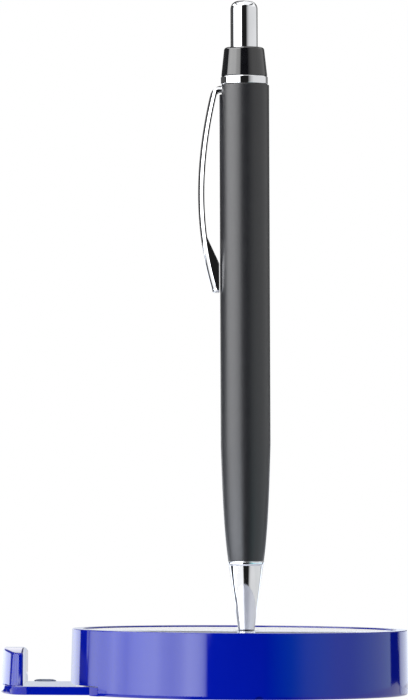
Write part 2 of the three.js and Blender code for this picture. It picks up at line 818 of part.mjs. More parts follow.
// Rotary cam: crown teeth that meet the plunger's, guide ribs, and a socket for the refill.
function rotaryCam() {
  const cut = 1;
  const socketOuter = camSocketBore + camSocketWall;
  return build([
    crownTube(crownRadius, crownBoreRadius, camFloorBottom, camTop, 'top'),
    rod(crownRadius, camFloorBottom, camFloorTop, 0, 0, crownSides),
    rod(Math.min(socketOuter, crownRadius), camBottom, camFloorBottom + fitGap, 0, 0, crownSides),
    ...ribs(ribRadius, ribWidth, camFloorTop, camRibTop),
  ], [
    rod(camSocketBore, camBottom - cut, camFloorBottom, 0, 0, crownSides),
  ]);
}

function refillTube() {
  return revolve([
    [tubeBore, tubeBottom],
    [refillTubeRadius, tubeBottom],
    [refillTubeRadius, tubeTop],
    [tubeBore, tubeTop],
  ], boreSides, true);
}

function refillTip() {
  const pointTop = refillPoint + refillPointLength;
  return revolve([
    [0, refillPoint],
    [refillPointRadius, refillPoint, refillPointRadius / 2],
    [refillPointRadius, pointTop],
    [refillTipRadius, pointTop + refillConeLength],
    [refillTipRadius, tubeBottom + refillShankLength],
    [0, tubeBottom + refillShankLength],
  ], boreSides);
}

function refillPlug() {
  return revolve([
    [0, tubeTop - refillPlugLength],
    [refillTipRadius, tubeTop - refillPlugLength, fitGap],
    [refillTipRadius, tubeTop],
    [0, tubeTop],
  ], boreSides);
}

// The wire's centre line, from the seat in the nose up to the refill tube.
class Helix extends THREE.Curve {
  getPoint(share, target = new THREE.Vector3()) {
    const angle = 2 * Math.PI * springTurns * share;
    const rise = springLength - 2 * springWireRadius - 2 * fitGap;
    const x = springCoilRadius * Math.cos(angle);
    const y = springCoilRadius * Math.sin(angle);
    return target.set(x, y, springBottom + springWireRadius + rise * share);
  }
}

// The least gap between one turn of the wire and the next, measured from point to point.
function leastGap(path, samples) {
  const points = Array.from({ length: samples + 1 }, (_, i) => path.getPoint(i / samples));
  const halfTurn = Math.floor(samples / springTurns / 2);
  let least = Infinity;
  points.forEach((point, i) => {
    for (let j = i + halfTurn; j < points.length; j += 1) {
      least = Math.min(least, point.distanceTo(points[j]) - 2 * springWireRadius);
    }
  });
  return least;
}

function returnSpring() {
  const path = new Helix();
  const section = [];
  for (let i = 0; i < springWireSides; i += 1) {
    const angle = (2 * Math.PI * i) / springWireSides;
    section.push(new THREE.Vector2(Math.cos(angle), Math.sin(angle)).multiplyScalar(springWireRadius));
  }
  const steps = springTurns * springStepsPerTurn;
  console.log(`least gap between turns of the spring: ${leastGap(path, steps).toFixed(2)} mm`);
  const settings = { steps, extrudePath: path, bevelEnabled: false };
  return weld(new THREE.ExtrudeGeometry(new THREE.Shape(section), settings));
}

// Pocket clip: a bowed strip, domed outside and flat inside, that curls over at its root,
// with a wedge foot and a tab that hooks into the barrel's notch.
function clip() {
  const rootZ = barrelTop - clipRootDrop;
  const endZ = rootZ - clipLength;
  const wedgeTop = endZ + clipFootLength + clipWedgeLength;
  const tabBottom = rootZ - clipTabHeight;
  const shareAt = (z) => (z - endZ) / clipLength;
  const standoffAt = (z) => {
    const share = shareAt(z);
    const across = 2 * share - 1;
    const line = clipEndStandoff + (clipRootStandoff - clipEndStandoff) * share;
    return line + clipBow * (1 - across ** 2) * (1 - clipBowSkew * across);
  };
  const out = (distance) => -barrelRadius - distance;
  const outer = [];
  const inner = [];
  for (let step = 0; step <= arcSteps; step += 1) {
    const outerZ = rootZ - (clipLength * step) / arcSteps;
    const innerZ = wedgeTop + ((tabBottom - wedgeTop) * step) / arcSteps;
    outer.push([out(standoffAt(outerZ)), outerZ]);
    inner.push([out(standoffAt(innerZ) - clipThickness), innerZ]);
  }
  outer[0].push(clipShoulder);
  outer[arcSteps].push(clipEdge);
  const profile = roundCorners([
    ...outer,
    [out(clipFootGap), endZ, clipFootGap],
    [out(clipFootGap), endZ + clipFootLength],
    ...inner,
    [-barrelRadius + clipTabDepth, tabBottom],
    [-barrelRadius + clipTabDepth, rootZ],
  ]);
  const settings = { depth: clipRootWidth, bevelEnabled: false };
  const side = new THREE.ExtrudeGeometry(new THREE.Shape(profile), settings);
  side.rotateX(Math.PI / 2).translate(0, clipRootWidth / 2, 0);
  const section = (z, narrowing) => {
    const half = (clipFootWidth + (clipRootWidth - clipFootWidth) * shareAt(z)) / 2 - narrowing;
    const points = [];
    for (let step = 0; step <= arcSteps; step += 1) {
      const angle = (Math.PI * step) / arcSteps;
      const fall = clipDome * (1 - Math.sin(angle)) - fitGap;
      points.push(new THREE.Vector2(out(standoffAt(z)) + fall, half * Math.cos(angle)));
    }
    return [...points, new THREE.Vector2(0, -half), new THREE.Vector2(0, half)];
  };
  const levels = [];
  for (let step = 0; step < filletSteps; step += 1) {
    const angle = (Math.PI / 2) * (step / filletSteps);
    const z = endZ + clipFootCorner * (1 - Math.cos(angle));
    levels.push({ points: section(z, clipFootCorner * (1 - Math.sin(angle))), z });
  }
  const straightBottom = endZ + clipFootCorner;
  const straightLength = rootZ + clipEdge - straightBottom;
  for (let step = 0; step <= arcSteps; step += 1) {
    const z = straightBottom + (straightLength * step) / arcSteps;
    levels.push({ points: section(z, 0), z });
  }
  return toGeometry(toSolid(weld(side)).intersect(toSolid(loft(levels))));
}

function mesh(name, geometry, finish) {
  geometry.computeVertexNormals();
  const piece = new THREE.Mesh(geometry, new THREE.MeshStandardMaterial(finishes[finish]));
  piece.name = name;
  return piece;
}

function group(...pieces) {
  return new THREE.Group().add(...pieces);
}

const base = group(
  mesh('base_shell', baseShell(), 'blue'),
  mesh('base_plate', basePlate(), 'blue'),
  mesh('ballast', ballast(), 'steel'),
  mesh('grip_pad', gripPad(), 'rubber'),
  mesh('top_inlay', topInlay(), 'inlay'),
);
ringOf(screwAngles, screwCircle, (x, y) => new THREE.Vector3(x, y, 0)).forEach((place, i) => {
  const piece = mesh(`screw_${i + 1}`, screw(), 'steel');
  piece.position.copy(place);
  base.add(piece);
});

const socket = group(
  mesh('pen_socket', penSocket(), 'matteBlack'),
  mesh('magnet', magnet(), 'steel'),
);
socket.position.x = penX;

const ledge = group(
  mesh('phone_ledge', phoneLedge(), 'blue'),
  mesh('ledge_pad', ledgePad(), 'padRubber'),
);

const button = group(
  mesh('push_button', pushButton(), 'chrome'),
  mesh('plunger', plunger(), 'whitePlastic'),
);

const refill = group(
  mesh('rotary_cam', rotaryCam(), 'whitePlastic'),
  mesh('refill_tube', refillTube(), 'clearPlastic'),
  mesh('refill_tip', refillTip(), 'brass'),
  mesh('refill_plug', refillPlug(), 'whitePlastic'),
);

const pen = group(
  mesh('nose_cone', noseCone(), 'chrome'),
  mesh('barrel', barrel(), 'matteBlack'),
  mesh('trim_ring', trimRing(), 'chrome'),
  mesh('top_collar', topCollar(), 'glossBlack'),
  mesh('cam_sleeve', camSleeve(), 'whitePlastic'),
  mesh('return_spring', returnSpring(), 'steel'),
  mesh('clip', clip(), 'chrome'),
  button,
  refill,
);
pen.position.set(penX, 0, penPointHeight);
pen.rotation.y = -THREE.MathUtils.degToRad(penLean);

const penHolder = group(base, socket, ledge, pen);

export default penHolder;
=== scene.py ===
"""Looks of the pen holder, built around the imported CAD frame.

Profiles are written in millimetres, as in a drawing. Every finished mesh is in metres, in the frame's place.
"""

import json
import math
import bmesh
import bpy
from mathutils import Matrix, Quaternion, Vector


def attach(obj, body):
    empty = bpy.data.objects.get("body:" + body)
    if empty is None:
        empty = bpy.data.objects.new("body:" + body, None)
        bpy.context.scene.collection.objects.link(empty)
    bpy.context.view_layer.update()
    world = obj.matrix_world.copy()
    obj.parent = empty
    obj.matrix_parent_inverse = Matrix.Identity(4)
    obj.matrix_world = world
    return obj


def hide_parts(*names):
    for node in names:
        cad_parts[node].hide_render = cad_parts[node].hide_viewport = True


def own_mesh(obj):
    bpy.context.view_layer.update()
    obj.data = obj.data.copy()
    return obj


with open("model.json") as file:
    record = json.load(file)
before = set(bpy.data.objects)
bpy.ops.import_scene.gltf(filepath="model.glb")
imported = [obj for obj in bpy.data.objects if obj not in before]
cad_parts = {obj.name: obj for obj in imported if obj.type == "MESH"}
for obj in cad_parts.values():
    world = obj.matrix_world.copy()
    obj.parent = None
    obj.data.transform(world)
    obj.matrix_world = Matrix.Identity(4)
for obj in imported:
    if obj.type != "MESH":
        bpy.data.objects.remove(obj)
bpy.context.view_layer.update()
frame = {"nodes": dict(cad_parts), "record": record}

MM = 0.001
WHITE = (1.0, 1.0, 1.0)

# Steps and sides of what is rounded or turned, and the angle, in degrees, above which an edge stays sharp

TURNED_SIDES = 192
BASE_SIDES = 360
HOLE_SIDES = 96
BOSS_SIDES = 64
SCREW_SIDES = 48
SOLE_STEPS = 180
PAD_STEPS = 72
FILLET_STEPS = 8
SHARP_ANGLE = 32.0

# Sizes in millimetres, angles in degrees. Points at SUPPORT beside each rounding keep the faces next to it
# flat. A cutter runs on beyond what it cuts by CUT, and a sloping or curved one by PAST.

SUPPORT = 0.05
CUT = 1.0
PAST = 0.03
FIT_GAP = 0.05
RUNNING_GAP = 0.15

BASE_RADIUS = 36.0
BASE_TOP_RADIUS = 35.7
BASE_BOTTOM = 0.2
BASE_TOP = 14.0
RECESS_FLOOR = 13.58
RIM_INNER_RADIUS = 33.3
CEILING = 11.18
CAVITY_RADIUS = 34.0
CAVITY_TOP_RADIUS = 33.7
BOSS_BOTTOM = 5.0
BOSS_INNER_RADIUS = 4.15
BOSS_OUTER_RADIUS = 5.95
MOUTH_GAP = 0.4
MOUTH_CHAMFER = 0.25
NOTCH_X = 3.8
NOTCH_RADIUS = 0.95
NOTCH_DEPTH = 1.4
SLOT_TOP = 2.25
OUTSIDE_X = -40.0
INLAY_RADIUS = 33.15
INLAY_BOTTOM = 13.59
INLAY_TOP = 13.65

LEDGE_BOTTOM = 0.35
LEDGE_TOP = 2.1
LEDGE_HALF_WIDTH = 17.0
LEDGE_REACH = 50.8
LEDGE_END_RADIUS = 42.0
LEDGE_INNER_X = -15.99
LEDGE_TRAVEL = 9.45
TONGUE_SETBACK = 0.05
TONGUE_CORNER = 3.6
TONGUE_EDGE = 0.12
LIP_HEIGHT = 8.7
LIP_ARCH = 0.85
LIP_THICKNESS = 5.0
LIP_HALF_WIDTH = 15.3
LIP_INNER_RADIUS = 600.0
LIP_LEAN = 0.45
LIP_EDGE = 0.5
LIP_OUTER_CORNER = 1.6
LIP_INNER_CORNER = 0.5
ARM_WIDTH = 2.3
SLIT_LENGTH = 8.0
SLIT_HALF_WIDTH = 0.4
WING_THICKNESS = 0.8
WING_HALF_WIDTH = 19.3
WING_OUTER_X = -28.49
PAD_CENTRE = (-41.9, 14.9)
PAD_HALF_LENGTH = 2.4
PAD_HALF_WIDTH = 1.5
PAD_TOP = 2.6
PAD_SECTION = ((0.0, 0.0), (0.1, 0.0), (0.2, 0.08), (0.29, 0.24), (0.37, 0.48), (0.42, 0.76), (0.45, 1.1))

PLATE_RADIUS = 33.85
PLATE_TOP = 2.4
PLATE_OVERLAP = 0.2
TAB_HALF_WIDTH = 20.0
TAB_INNER_X = -16.9
STEM_RADIUS = 4.1
STEM_TOP = 3.43
CUP_RADIUS = 3.45
CUP_TOP = 3.35
SCREW_CIRCLE = 26.0
SCREW_ANGLES = (0, 95, -95)
SCREW_BORE = 1.25
SCREW_HEAD_BORE = 2.35
SCREW_SEAT = 2.45
CHANNEL_END_X = -6.24
SOLE_RADIUS = 31.25
SOLE_TOP = 0.75
SOLE_INNER_HALF_WIDTH = 20.3
SOLE_END_X = CHANNEL_END_X + 1.25
GROOVE_RADII = (24.0, 26.5, 29.0)
GROOVE_HALF_WIDTH = 0.3
GROOVE_DEPTH = 0.12
GROOVE_CUT = 0.2
SOCKET_HEIGHT = 4.7
SOCKET_RADIUS = 4.1
SOCKET_BORE = 0.9
SOCKET_SEAT = 9.25
SOCKET_SEAT_RADIUS = 1.3

PEN_X = 1.45
PEN_POINT = 9.55
PEN_LEAN = 0.52
CONE_TIP_RADIUS = 1.15
CONE_TOP_RADIUS = 3.78
BEAD_RADIUS = 3.90
BEAD_HEIGHT = 0.9
BARREL_BOTTOM = 18.9
BARREL_TOP = 120.7
BARREL_RADIUS = 5.32
BARREL_BORE = 4.0
NECK_RADIUS = 3.80
NECK_BORE = 3.2
TAPER_LENGTH = 24.8
TAPER_STEPS = 40
RING_TOP = 122.6
RING_RADIUS = 5.05
COLLAR_TOP = 128.75
COLLAR_RADIUS = 4.95
COLLAR_TOP_RADIUS = 4.27
COLLAR_BORE = 3.075
COLLAR_SLEEVE = 4.5
COLLAR_SLEEVE_RADIUS = 3.95
BUTTON_TOP = 138.9
BUTTON_RADIUS = 2.925
BUTTON_BORE = 2.225
BUTTON_CROWN = 0.35
BUTTON_TRAVEL = 5.5

SPRING_BOTTOM = 10.55
SPRING_LENGTH = 12.9
SPRING_TURNS = 10
SPRING_TURN_STEPS = 24
SPRING_WIRE_SIDES = 10
SPRING_WIRE = 0.2
SPRING_COIL = 1.65

CLIP_ROOT = BARREL_TOP - 0.1
CLIP_LENGTH = 44.35
CLIP_END = CLIP_ROOT - CLIP_LENGTH
CLIP_THICKNESS = 1.35
CLIP_END_STANDOFF = 1.54
CLIP_ROOT_STANDOFF = 1.5
CLIP_BOW = 3.12
CLIP_BOW_SKEW = 0.1
CLIP_END_WIDTH = 3.2
CLIP_ROOT_WIDTH = 4.2
CLIP_BLANK_HALF_WIDTH = 2.2
CLIP_DOME = 1.2
CLIP_TIP = 1.05
CLIP_WEDGE = 11.8
CLIP_FOOT = 6.2
CLIP_SHOULDER = 3.0
CLIP_TAB = 1.35
CLIP_TAB_REACH = 1.1
CLIP_TAB_CORNER = 0.9
CLIP_ROOF_HALF_WIDTH = 2.15
CLIP_SIDE_STEPS = 48
CLIP_ARC_STEPS = 32
CLIP_TIP_STEPS = 10
CLIP_STRIP_STEPS = 60


# Mesh helpers

def rounded(corners, steps=FILLET_STEPS):
    """Rounds the corners of a closed outline. A corner is (x, y) or (x, y, radius)."""
    points = []
    count = len(corners)
    for i, corner in enumerate(corners):
        here = Vector(corner[:2])
        radius = corner[2] if len(corner) > 2 else 0
        if radius <= 0:
            points.append(here)
            continue
        back = (Vector(corners[i - 1][:2]) - here).normalized()
        onward = (Vector(corners[(i + 1) % count][:2]) - here).normalized()
        half = math.acos(max(-1.0, min(1.0, back.dot(onward)))) / 2
        reach = radius / math.tan(half)
        centre = here + (back + onward).normalized() * (radius / math.sin(half))
        first = here + back * reach - centre
        last = here + onward * reach - centre
        start = math.atan2(first.y, first.x)
        turn = (math.atan2(last.y, last.x) - start + math.pi) % (2 * math.pi) - math.pi
        if reach > 2 * SUPPORT:
            points.append(here + back * (reach + SUPPORT))
        for step in range(steps + 1):
            angle = start + turn * step / steps
            points.append(centre + Vector((math.cos(angle), math.sin(angle))) * radius)
        if reach > 2 * SUPPORT:
            points.append(here + onward * (reach + SUPPORT))
    return points


def finish_mesh(name, bm):
    """Turns a bmesh in millimetres into an object in metres, smooth apart from its real edges."""
    bmesh.ops.remove_doubles(bm, verts=bm.verts, dist=1e-5)
    bmesh.ops.recalc_face_normals(bm, faces=bm.faces)
    mesh = bpy.data.meshes.new(name)
    bm.to_mesh(mesh)
    bm.free()
    obj = bpy.data.objects.new(name, mesh)
    bpy.context.scene.collection.objects.link(obj)
    soften(obj)
    return obj


def soften(obj, sharp=SHARP_ANGLE):
    mesh = obj.data
    mesh.polygons.foreach_set("use_smooth", [True] * len(mesh.polygons))
    mesh.set_sharp_from_angle(angle=math.radians(sharp))
    mesh.update()


def to_metres(obj):
    obj.data.transform(Matrix.Scale(MM, 4))
    obj.data.update()
    return obj


def lathe(name, profile, sides=TURNED_SIDES, centre=(0.0, 0.0)):
    """A closed (radius, height) outline turned about an upright axis."""
    bm = bmesh.new()
    rings = []
    for point in rounded(profile):
        radius, height = max(point.x, 0.0), point.y
        if radius < 1e-6:
            rings.append([bm.verts.new((centre[0], centre[1], height))])
            continue
        ring = []
        for k in range(sides):
            angle = 2 * math.pi * k / sides
            x = centre[0] + radius * math.cos(angle)
            y = centre[1] + radius * math.sin(angle)
            ring.append(bm.verts.new((x, y, height)))
        rings.append(ring)
    for lower, upper in zip(rings, rings[1:] + rings[:1]):
        for k in range(sides):
            corners = [
                lower[k % len(lower)],
                lower[(k + 1) % len(lower)],
                upper[(k + 1) % len(upper)],
                upper[k % len(upper)],
            ]
            corners = list(dict.fromkeys(corners))
            if len(corners) > 2:
                bm.faces.new(corners)
    return finish_mesh(name, bm)


def tube(name, inner, outer, bottom, top, sides, centre=(0.0, 0.0)):
    """A plain upright ring, or a rod where the inner radius is 0."""
    return lathe(name, [(inner, bottom), (outer, bottom), (outer, top), (inner, top)], sides, centre)


def loft(name, levels):
    """A closed body through rings of equal point counts. A ring is a list of (x, y, z). The two ends are
    closed by strips between the ring's first and second half, so that an end may be arched."""
    bm = bmesh.new()
    rings = [[bm.verts.new(p) for p in ring] for ring in levels]
    count = len(rings[0])
    for lower, upper in zip(rings, rings[1:]):
        for k in range(count):
            bm.faces.new([lower[k], lower[(k + 1) % count], upper[(k + 1) % count], upper[k]])
    for ring in (rings[0][::-1], rings[-1]):
        for i in range(count // 2 - 1):
            bm.faces.new([ring[i], ring[i + 1], ring[count - 2 - i], ring[count - 1 - i]])
    return finish_mesh(name, bm)


def prism(name, outline, bottom, top):
    """An outline in plan, raised between two levels."""
    return loft(name, [[(p[0], p[1], z) for p in outline] for z in (bottom, top)])


def box(name, low, high):
    outline = [(low[0], low[1]), (high[0], low[1]), (high[0], high[1]), (low[0], high[1])]
    return prism(name, outline, low[2], high[2])


def apply_modifiers(obj):
    graph = bpy.context.evaluated_depsgraph_get()
    mesh = bpy.data.meshes.new_from_object(obj.evaluated_get(graph))
    obj.modifiers.clear()
    obj.data = mesh
    return obj


def combine(target, others, operation):
    """Joins the others to the target, or cuts them out of it, and removes them."""
    for other in others:
        modifier = target.modifiers.new(operation, "BOOLEAN")
        modifier.operation = operation
        modifier.solver = "EXACT"
        modifier.object = other
        apply_modifiers(target)
        bpy.data.objects.remove(other)
    return target


def flat_faces(obj):
    """Lets the large faces set the smooth shading, so that they mirror as flat ones."""
    modifier = obj.modifiers.new("flat_faces", "WEIGHTED_NORMAL")
    modifier.keep_sharp = True
    modifier.weight = 100
    return apply_modifiers(obj)


def bevel(obj, width, segments=3, angle=SHARP_ANGLE):
    """Breaks the edges of a piece, as moulding or polishing leaves them."""
    modifier = obj.modifiers.new("bevel", "BEVEL")
    modifier.width = width
    modifier.segments = segments
    modifier.limit_method = "ANGLE"
    modifier.angle_limit = math.radians(angle)
    modifier.use_clamp_overlap = True
    return apply_modifiers(obj)


# Materials

class Surface:
    """A material on the principled shader, with short ways to add procedural detail."""

    def __init__(self, name, colour, roughness, **sockets):
        self.material = bpy.data.materials.new(name)
        self.material.use_nodes = True
        self.nodes = self.material.node_tree.nodes
        self.links = self.material.node_tree.links
        self.shader = next(n for n in self.nodes if n.type == "BSDF_PRINCIPLED")
        self.shader.inputs["Base Color"].default_value = (*colour, 1.0)
        self.shader.inputs["Roughness"].default_value = roughness
        for socket, value in sockets.items():
            self.shader.inputs[socket.replace("_", " ")].default_value = value
        self.place = self.nodes.new("ShaderNodeTexCoord").outputs["Object"]

    def noise(self, scale, detail=3.0, rough=0.5, stretch=None):
        where = self.place
        if stretch is not None:
            mapping = self.nodes.new("ShaderNodeMapping")
            mapping.inputs["Scale"].default_value = stretch
            self.links.new(where, mapping.inputs["Vector"])
            where = mapping.outputs["Vector"]
        noise = self.nodes.new("ShaderNodeTexNoise")
        noise.inputs["Scale"].default_value = scale
        noise.inputs["Detail"].default_value = detail
        noise.inputs["Roughness"].default_value = rough
        self.links.new(where, noise.inputs["Vector"])
        return noise.outputs["Fac"]

    def spread(self, value, low, high, start=0.3, end=0.7):
        """Maps a value between start and end to low and high."""
        node = self.nodes.new("ShaderNodeMapRange")
        for socket, number in zip(("From Min", "From Max", "To Min", "To Max"), (start, end, low, high)):
            node.inputs[socket].default_value = number
        self.links.new(value, node.inputs["Value"])
        return node.outputs["Result"]

    def vary_colour(self, value, one, other):
        share = self.spread(value, 0.0, 1.0)
        mix = self.nodes.new("ShaderNodeMix")
        mix.data_type = "RGBA"
        colours = [s for s in mix.inputs if s.type == "RGBA"]
        colours[0].default_value = (*one, 1.0)
        colours[1].default_value = (*other, 1.0)
        self.links.new(share, mix.inputs[0])
        self.links.new(next(s for s in mix.outputs if s.type == "RGBA"), self.shader.inputs["Base Color"])

    def vary_roughness(self, value, low, high):
        self.links.new(self.spread(value, low, high), self.shader.inputs["Roughness"])

    def bump(self, value, depth, strength=1.0):
        """Adds a bump of that real depth, in metres, on top of any other."""
        node = self.nodes.new("ShaderNodeBump")
        node.inputs["Strength"].default_value = strength
        node.inputs["Distance"].default_value = depth
        self.links.new(value, node.inputs["Height"])
        normal = self.shader.inputs["Normal"]
        if normal.is_linked:
            self.links.new(normal.links[0].from_socket, node.inputs["Normal"])
        self.links.new(node.outputs["Normal"], normal)


def blue_plastic():
    s = Surface("blue_plastic", (0.0, 0.007, 0.314), 0.045, IOR=1.5)
    s.vary_colour(s.noise(60.0, 2.0), (0.0, 0.0063, 0.305), (0.0, 0.008, 0.325))
    s.vary_roughness(s.noise(900.0, 4.0), 0.035, 0.06)
    s.bump(s.noise(140.0, 1.0), 0.00002, 0.25)
    return s.material


def matte_black():
    s = Surface("matte_black", (0.006, 0.006, 0.008), 0.36, IOR=1.62)
    s.vary_colour(s.noise(220.0), (0.0055, 0.0055, 0.0075), (0.0075, 0.0075, 0.0095))
    s.vary_roughness(s.noise(1400.0), 0.33, 0.39)
    s.bump(s.noise(6000.0, 2.0, 0.6), 0.000012, 0.35)
    return s.material


def gloss_black():
    s = Surface("gloss_black", (0.004, 0.004, 0.005), 0.05, IOR=1.75)
    s.vary_colour(s.noise(300.0, 2.0), (0.0035, 0.0035, 0.0045), (0.006, 0.006, 0.007))
    s.vary_roughness(s.noise(2000.0), 0.04, 0.07)
    return s.material


def pale_inlay():
    s = Surface("pale_inlay", (0.74, 0.76, 0.86), 0.05, IOR=1.6)
    s.vary_colour(s.noise(300.0), (0.75, 0.77, 0.87), (0.72, 0.74, 0.84))
    s.vary_roughness(s.noise(900.0), 0.04, 0.06)
    return s.material


def metal(name, colour, other, roughness, rougher, grain=None):
    s = Surface(name, colour, roughness, Metallic=1.0)
    s.vary_colour(s.noise(250.0), colour, other)
    s.vary_roughness(s.noise(1800.0, stretch=grain), roughness, rougher)
    return s.material


def dull(name, colour, other, roughness, rougher, grain_scale, grain_depth):
    """Rubber and unpolished plastics: cloudy colour over a fine moulded grain."""
    s = Surface(name, colour, roughness, IOR=1.5)
    s.vary_colour(s.noise(400.0), colour, other)
    s.vary_roughness(s.noise(1500.0), roughness, rougher)
    s.bump(s.noise(grain_scale, 2.0, 0.6), grain_depth, 0.5)
    return s.material


MATERIALS = {
    "blue_plastic": blue_plastic(),
    "matte_black": matte_black(),
    "gloss_black": gloss_black(),
    "pale_inlay": pale_inlay(),
    "chrome": metal("chrome", (0.80, 0.81, 0.83), (0.76, 0.77, 0.79), 0.03, 0.05),
    "steel": metal("steel", (0.50, 0.51, 0.53), (0.42, 0.43, 0.45), 0.25, 0.38, (1.0, 1.0, 0.1)),
    "brass": metal("brass", (0.70, 0.53, 0.22), (0.62, 0.45, 0.18), 0.16, 0.26),
}
for dull_row in (
    ("rubber", (0.022, 0.024, 0.030), (0.032, 0.034, 0.040), 0.72, 0.85, 5000.0, 0.00002),
    ("pad_rubber", (0.22, 0.28, 0.36), (0.26, 0.32, 0.40), 0.45, 0.6, 5000.0, 0.00001),
    ("socket_black", (0.012, 0.012, 0.014), (0.018, 0.018, 0.02), 0.4, 0.5, 4000.0, 0.00001),
    ("white_plastic", (0.80, 0.80, 0.77), (0.74, 0.74, 0.71), 0.4, 0.5, 3000.0, 0.000008),
    ("clear_plastic", (0.58, 0.65, 0.71), (0.50, 0.57, 0.64), 0.25, 0.35, 3000.0, 0.000004),
):
    MATERIALS[dull_row[0]] = dull(*dull_row)
SLOT_OF = {row["node"]: row["material_slot"] for row in frame["record"]["subparts"]}


def dress(piece, node, body):
    """Gives a detailed piece the finish and body of the CAD node that it stands for."""
    to_metres(piece)
    piece.data.materials.clear()
    piece.data.materials.append(MATERIALS[SLOT_OF[node]])
    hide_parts(node)
    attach(piece, body)
    return piece


for name, node in frame["nodes"].items():
    node.data.materials.clear()
    node.data.materials.append(MATERIALS[SLOT_OF[name]])


# Base


def cone_radius(height):
    """Radius of the pen's nose cone at a height above the pen's point."""
    return CONE_TIP_RADIUS + (CONE_TOP_RADIUS - CONE_TIP_RADIUS) * height / BARREL_BOTTOM


def mouth_radius():
    """Radius of the hole in the base's top, where the nose cone goes in."""
    return cone_radius(RECESS_FLOOR - PEN_POINT) + MOUTH_GAP


def screw_places():
    angles = [math.radians(a) for a in SCREW_ANGLES]
    return [(SCREW_CIRCLE * math.cos(angle), SCREW_CIRCLE * math.sin(angle)) for angle in angles]


def base_shell():
    shell = lathe("shell", [
        (0, CEILING),
        (CAVITY_TOP_RADIUS, CEILING, 0.5),
        (CAVITY_RADIUS, BASE_BOTTOM, 0.1),
        (BASE_RADIUS, BASE_BOTTOM, 0.6),
        (BASE_TOP_RADIUS, BASE_TOP, 0.16),
        (RIM_INNER_RADIUS, BASE_TOP, 0.14),
        (RIM_INNER_RADIUS, RECESS_FLOOR, 0.12),
        (0, RECESS_FLOOR),
    ], BASE_SIDES)
    boss = tube("boss", BOSS_INNER_RADIUS, BOSS_OUTER_RADIUS, BOSS_BOTTOM, CEILING + 0.5, BOSS_SIDES,
                (PEN_X, 0))
    combine(shell, [boss], "UNION")
    mouth = mouth_radius()
    wide = mouth + MOUTH_CHAMFER + PAST
    hole = lathe("hole", [
        (0, CEILING - CUT),
        (mouth, CEILING - CUT),
        (mouth, RECESS_FLOOR - MOUTH_CHAMFER),
        (wide, RECESS_FLOOR + PAST),
        (wide, RECESS_FLOOR + CUT),
        (0, RECESS_FLOOR + CUT),
    ], HOLE_SIDES, (PEN_X, 0))
    half_width = TAB_HALF_WIDTH + RUNNING_GAP
    slot = box("slot", (OUTSIDE_X, -half_width, -CUT), (-CAVITY_RADIUS / 2, half_width, SLOT_TOP))
    pad_x, pad_y = PAD_CENTRE
    half_width = PAD_HALF_WIDTH + RUNNING_GAP
    end_x = pad_x + PAD_HALF_LENGTH + LEDGE_TRAVEL + 2 * RUNNING_GAP
    groove = box("groove", (OUTSIDE_X, pad_y - half_width, -CUT),
                 (end_x, pad_y + half_width, PAD_TOP + RUNNING_GAP))
    notch = tube("notch", 0, NOTCH_RADIUS, 0, 2 * NOTCH_DEPTH, SCREW_SIDES)
    place = Matrix.Translation((NOTCH_X, NOTCH_DEPTH - BASE_RADIUS, 0))
    notch.data.transform(place @ Matrix.Rotation(math.pi / 2, 4, "X"))
    combine(shell, [hole, slot, groove, notch], "DIFFERENCE")
    soften(shell)
    shell.visible_glossy = False
    return dress(shell, "base_shell", "base")


def end_arc(apex, radius, half_width, steps):
    """A shallow arc in plan across the ledge, from its far side to its near side."""
    points = []
    for step in range(steps + 1):
        y = half_width * (1 - 2 * step / steps)
        points.append((apex + radius - math.sqrt(radius**2 - y**2), y))
    return points


def lip_outline(outer_x, inner_x, half_width, outer_corner, inner_corner):
    outer = end_arc(outer_x, LEDGE_END_RADIUS, half_width, 15)
    inner = end_arc(inner_x, LIP_INNER_RADIUS, half_width, 15)[::-1]
    end_width = inner[0][0] - outer[0][0]
    for arc, corner in ((outer, min(outer_corner, end_width - inner_corner)), (inner, inner_corner)):
        for i in (0, -1):
            arc[i] = (*arc[i], corner)
    return [(p.x, p.y) for p in rounded(outer + inner)]


def lip_levels():
    """Heights of the lip's sections, each with its inset: broken lower edge, plain wall and rounded top."""
    top = LEDGE_BOTTOM + LIP_HEIGHT
    levels = [(LEDGE_BOTTOM, 0.12), (LEDGE_BOTTOM + 0.04, 0.04), (LEDGE_BOTTOM + 0.12, 0.0)]
    wall_bottom, wall_top, wall_steps = LEDGE_TOP - 0.3, top - LIP_EDGE - SUPPORT, 12
    for step in range(1, wall_steps + 1):
        levels.append((wall_bottom + (wall_top - wall_bottom) * step / wall_steps, 0.0))
    for step in range(1, FILLET_STEPS + 1):
        angle = math.pi / 2 * step / FILLET_STEPS
        levels.append((top - LIP_EDGE * (1 - math.sin(angle)), LIP_EDGE * (1 - math.cos(angle))))
    return levels


def lip_body():
    rings = []
    for z, inset in lip_levels():
        share = (z - LEDGE_BOTTOM) / LIP_HEIGHT
        outer_x = -LEDGE_REACH + LIP_LEAN * share + inset
        inner_x = -LEDGE_REACH + LIP_THICKNESS - inset
        outline = lip_outline(outer_x, inner_x, LIP_HALF_WIDTH - inset, LIP_OUTER_CORNER - inset,
                              LIP_INNER_CORNER - 0.7 * inset)
        rings.append([(x, y, z + LIP_ARCH * share * (1 - (y / LIP_HALF_WIDTH) ** 2)) for x, y in outline])
    return loft("tongue_and_lip", rings)


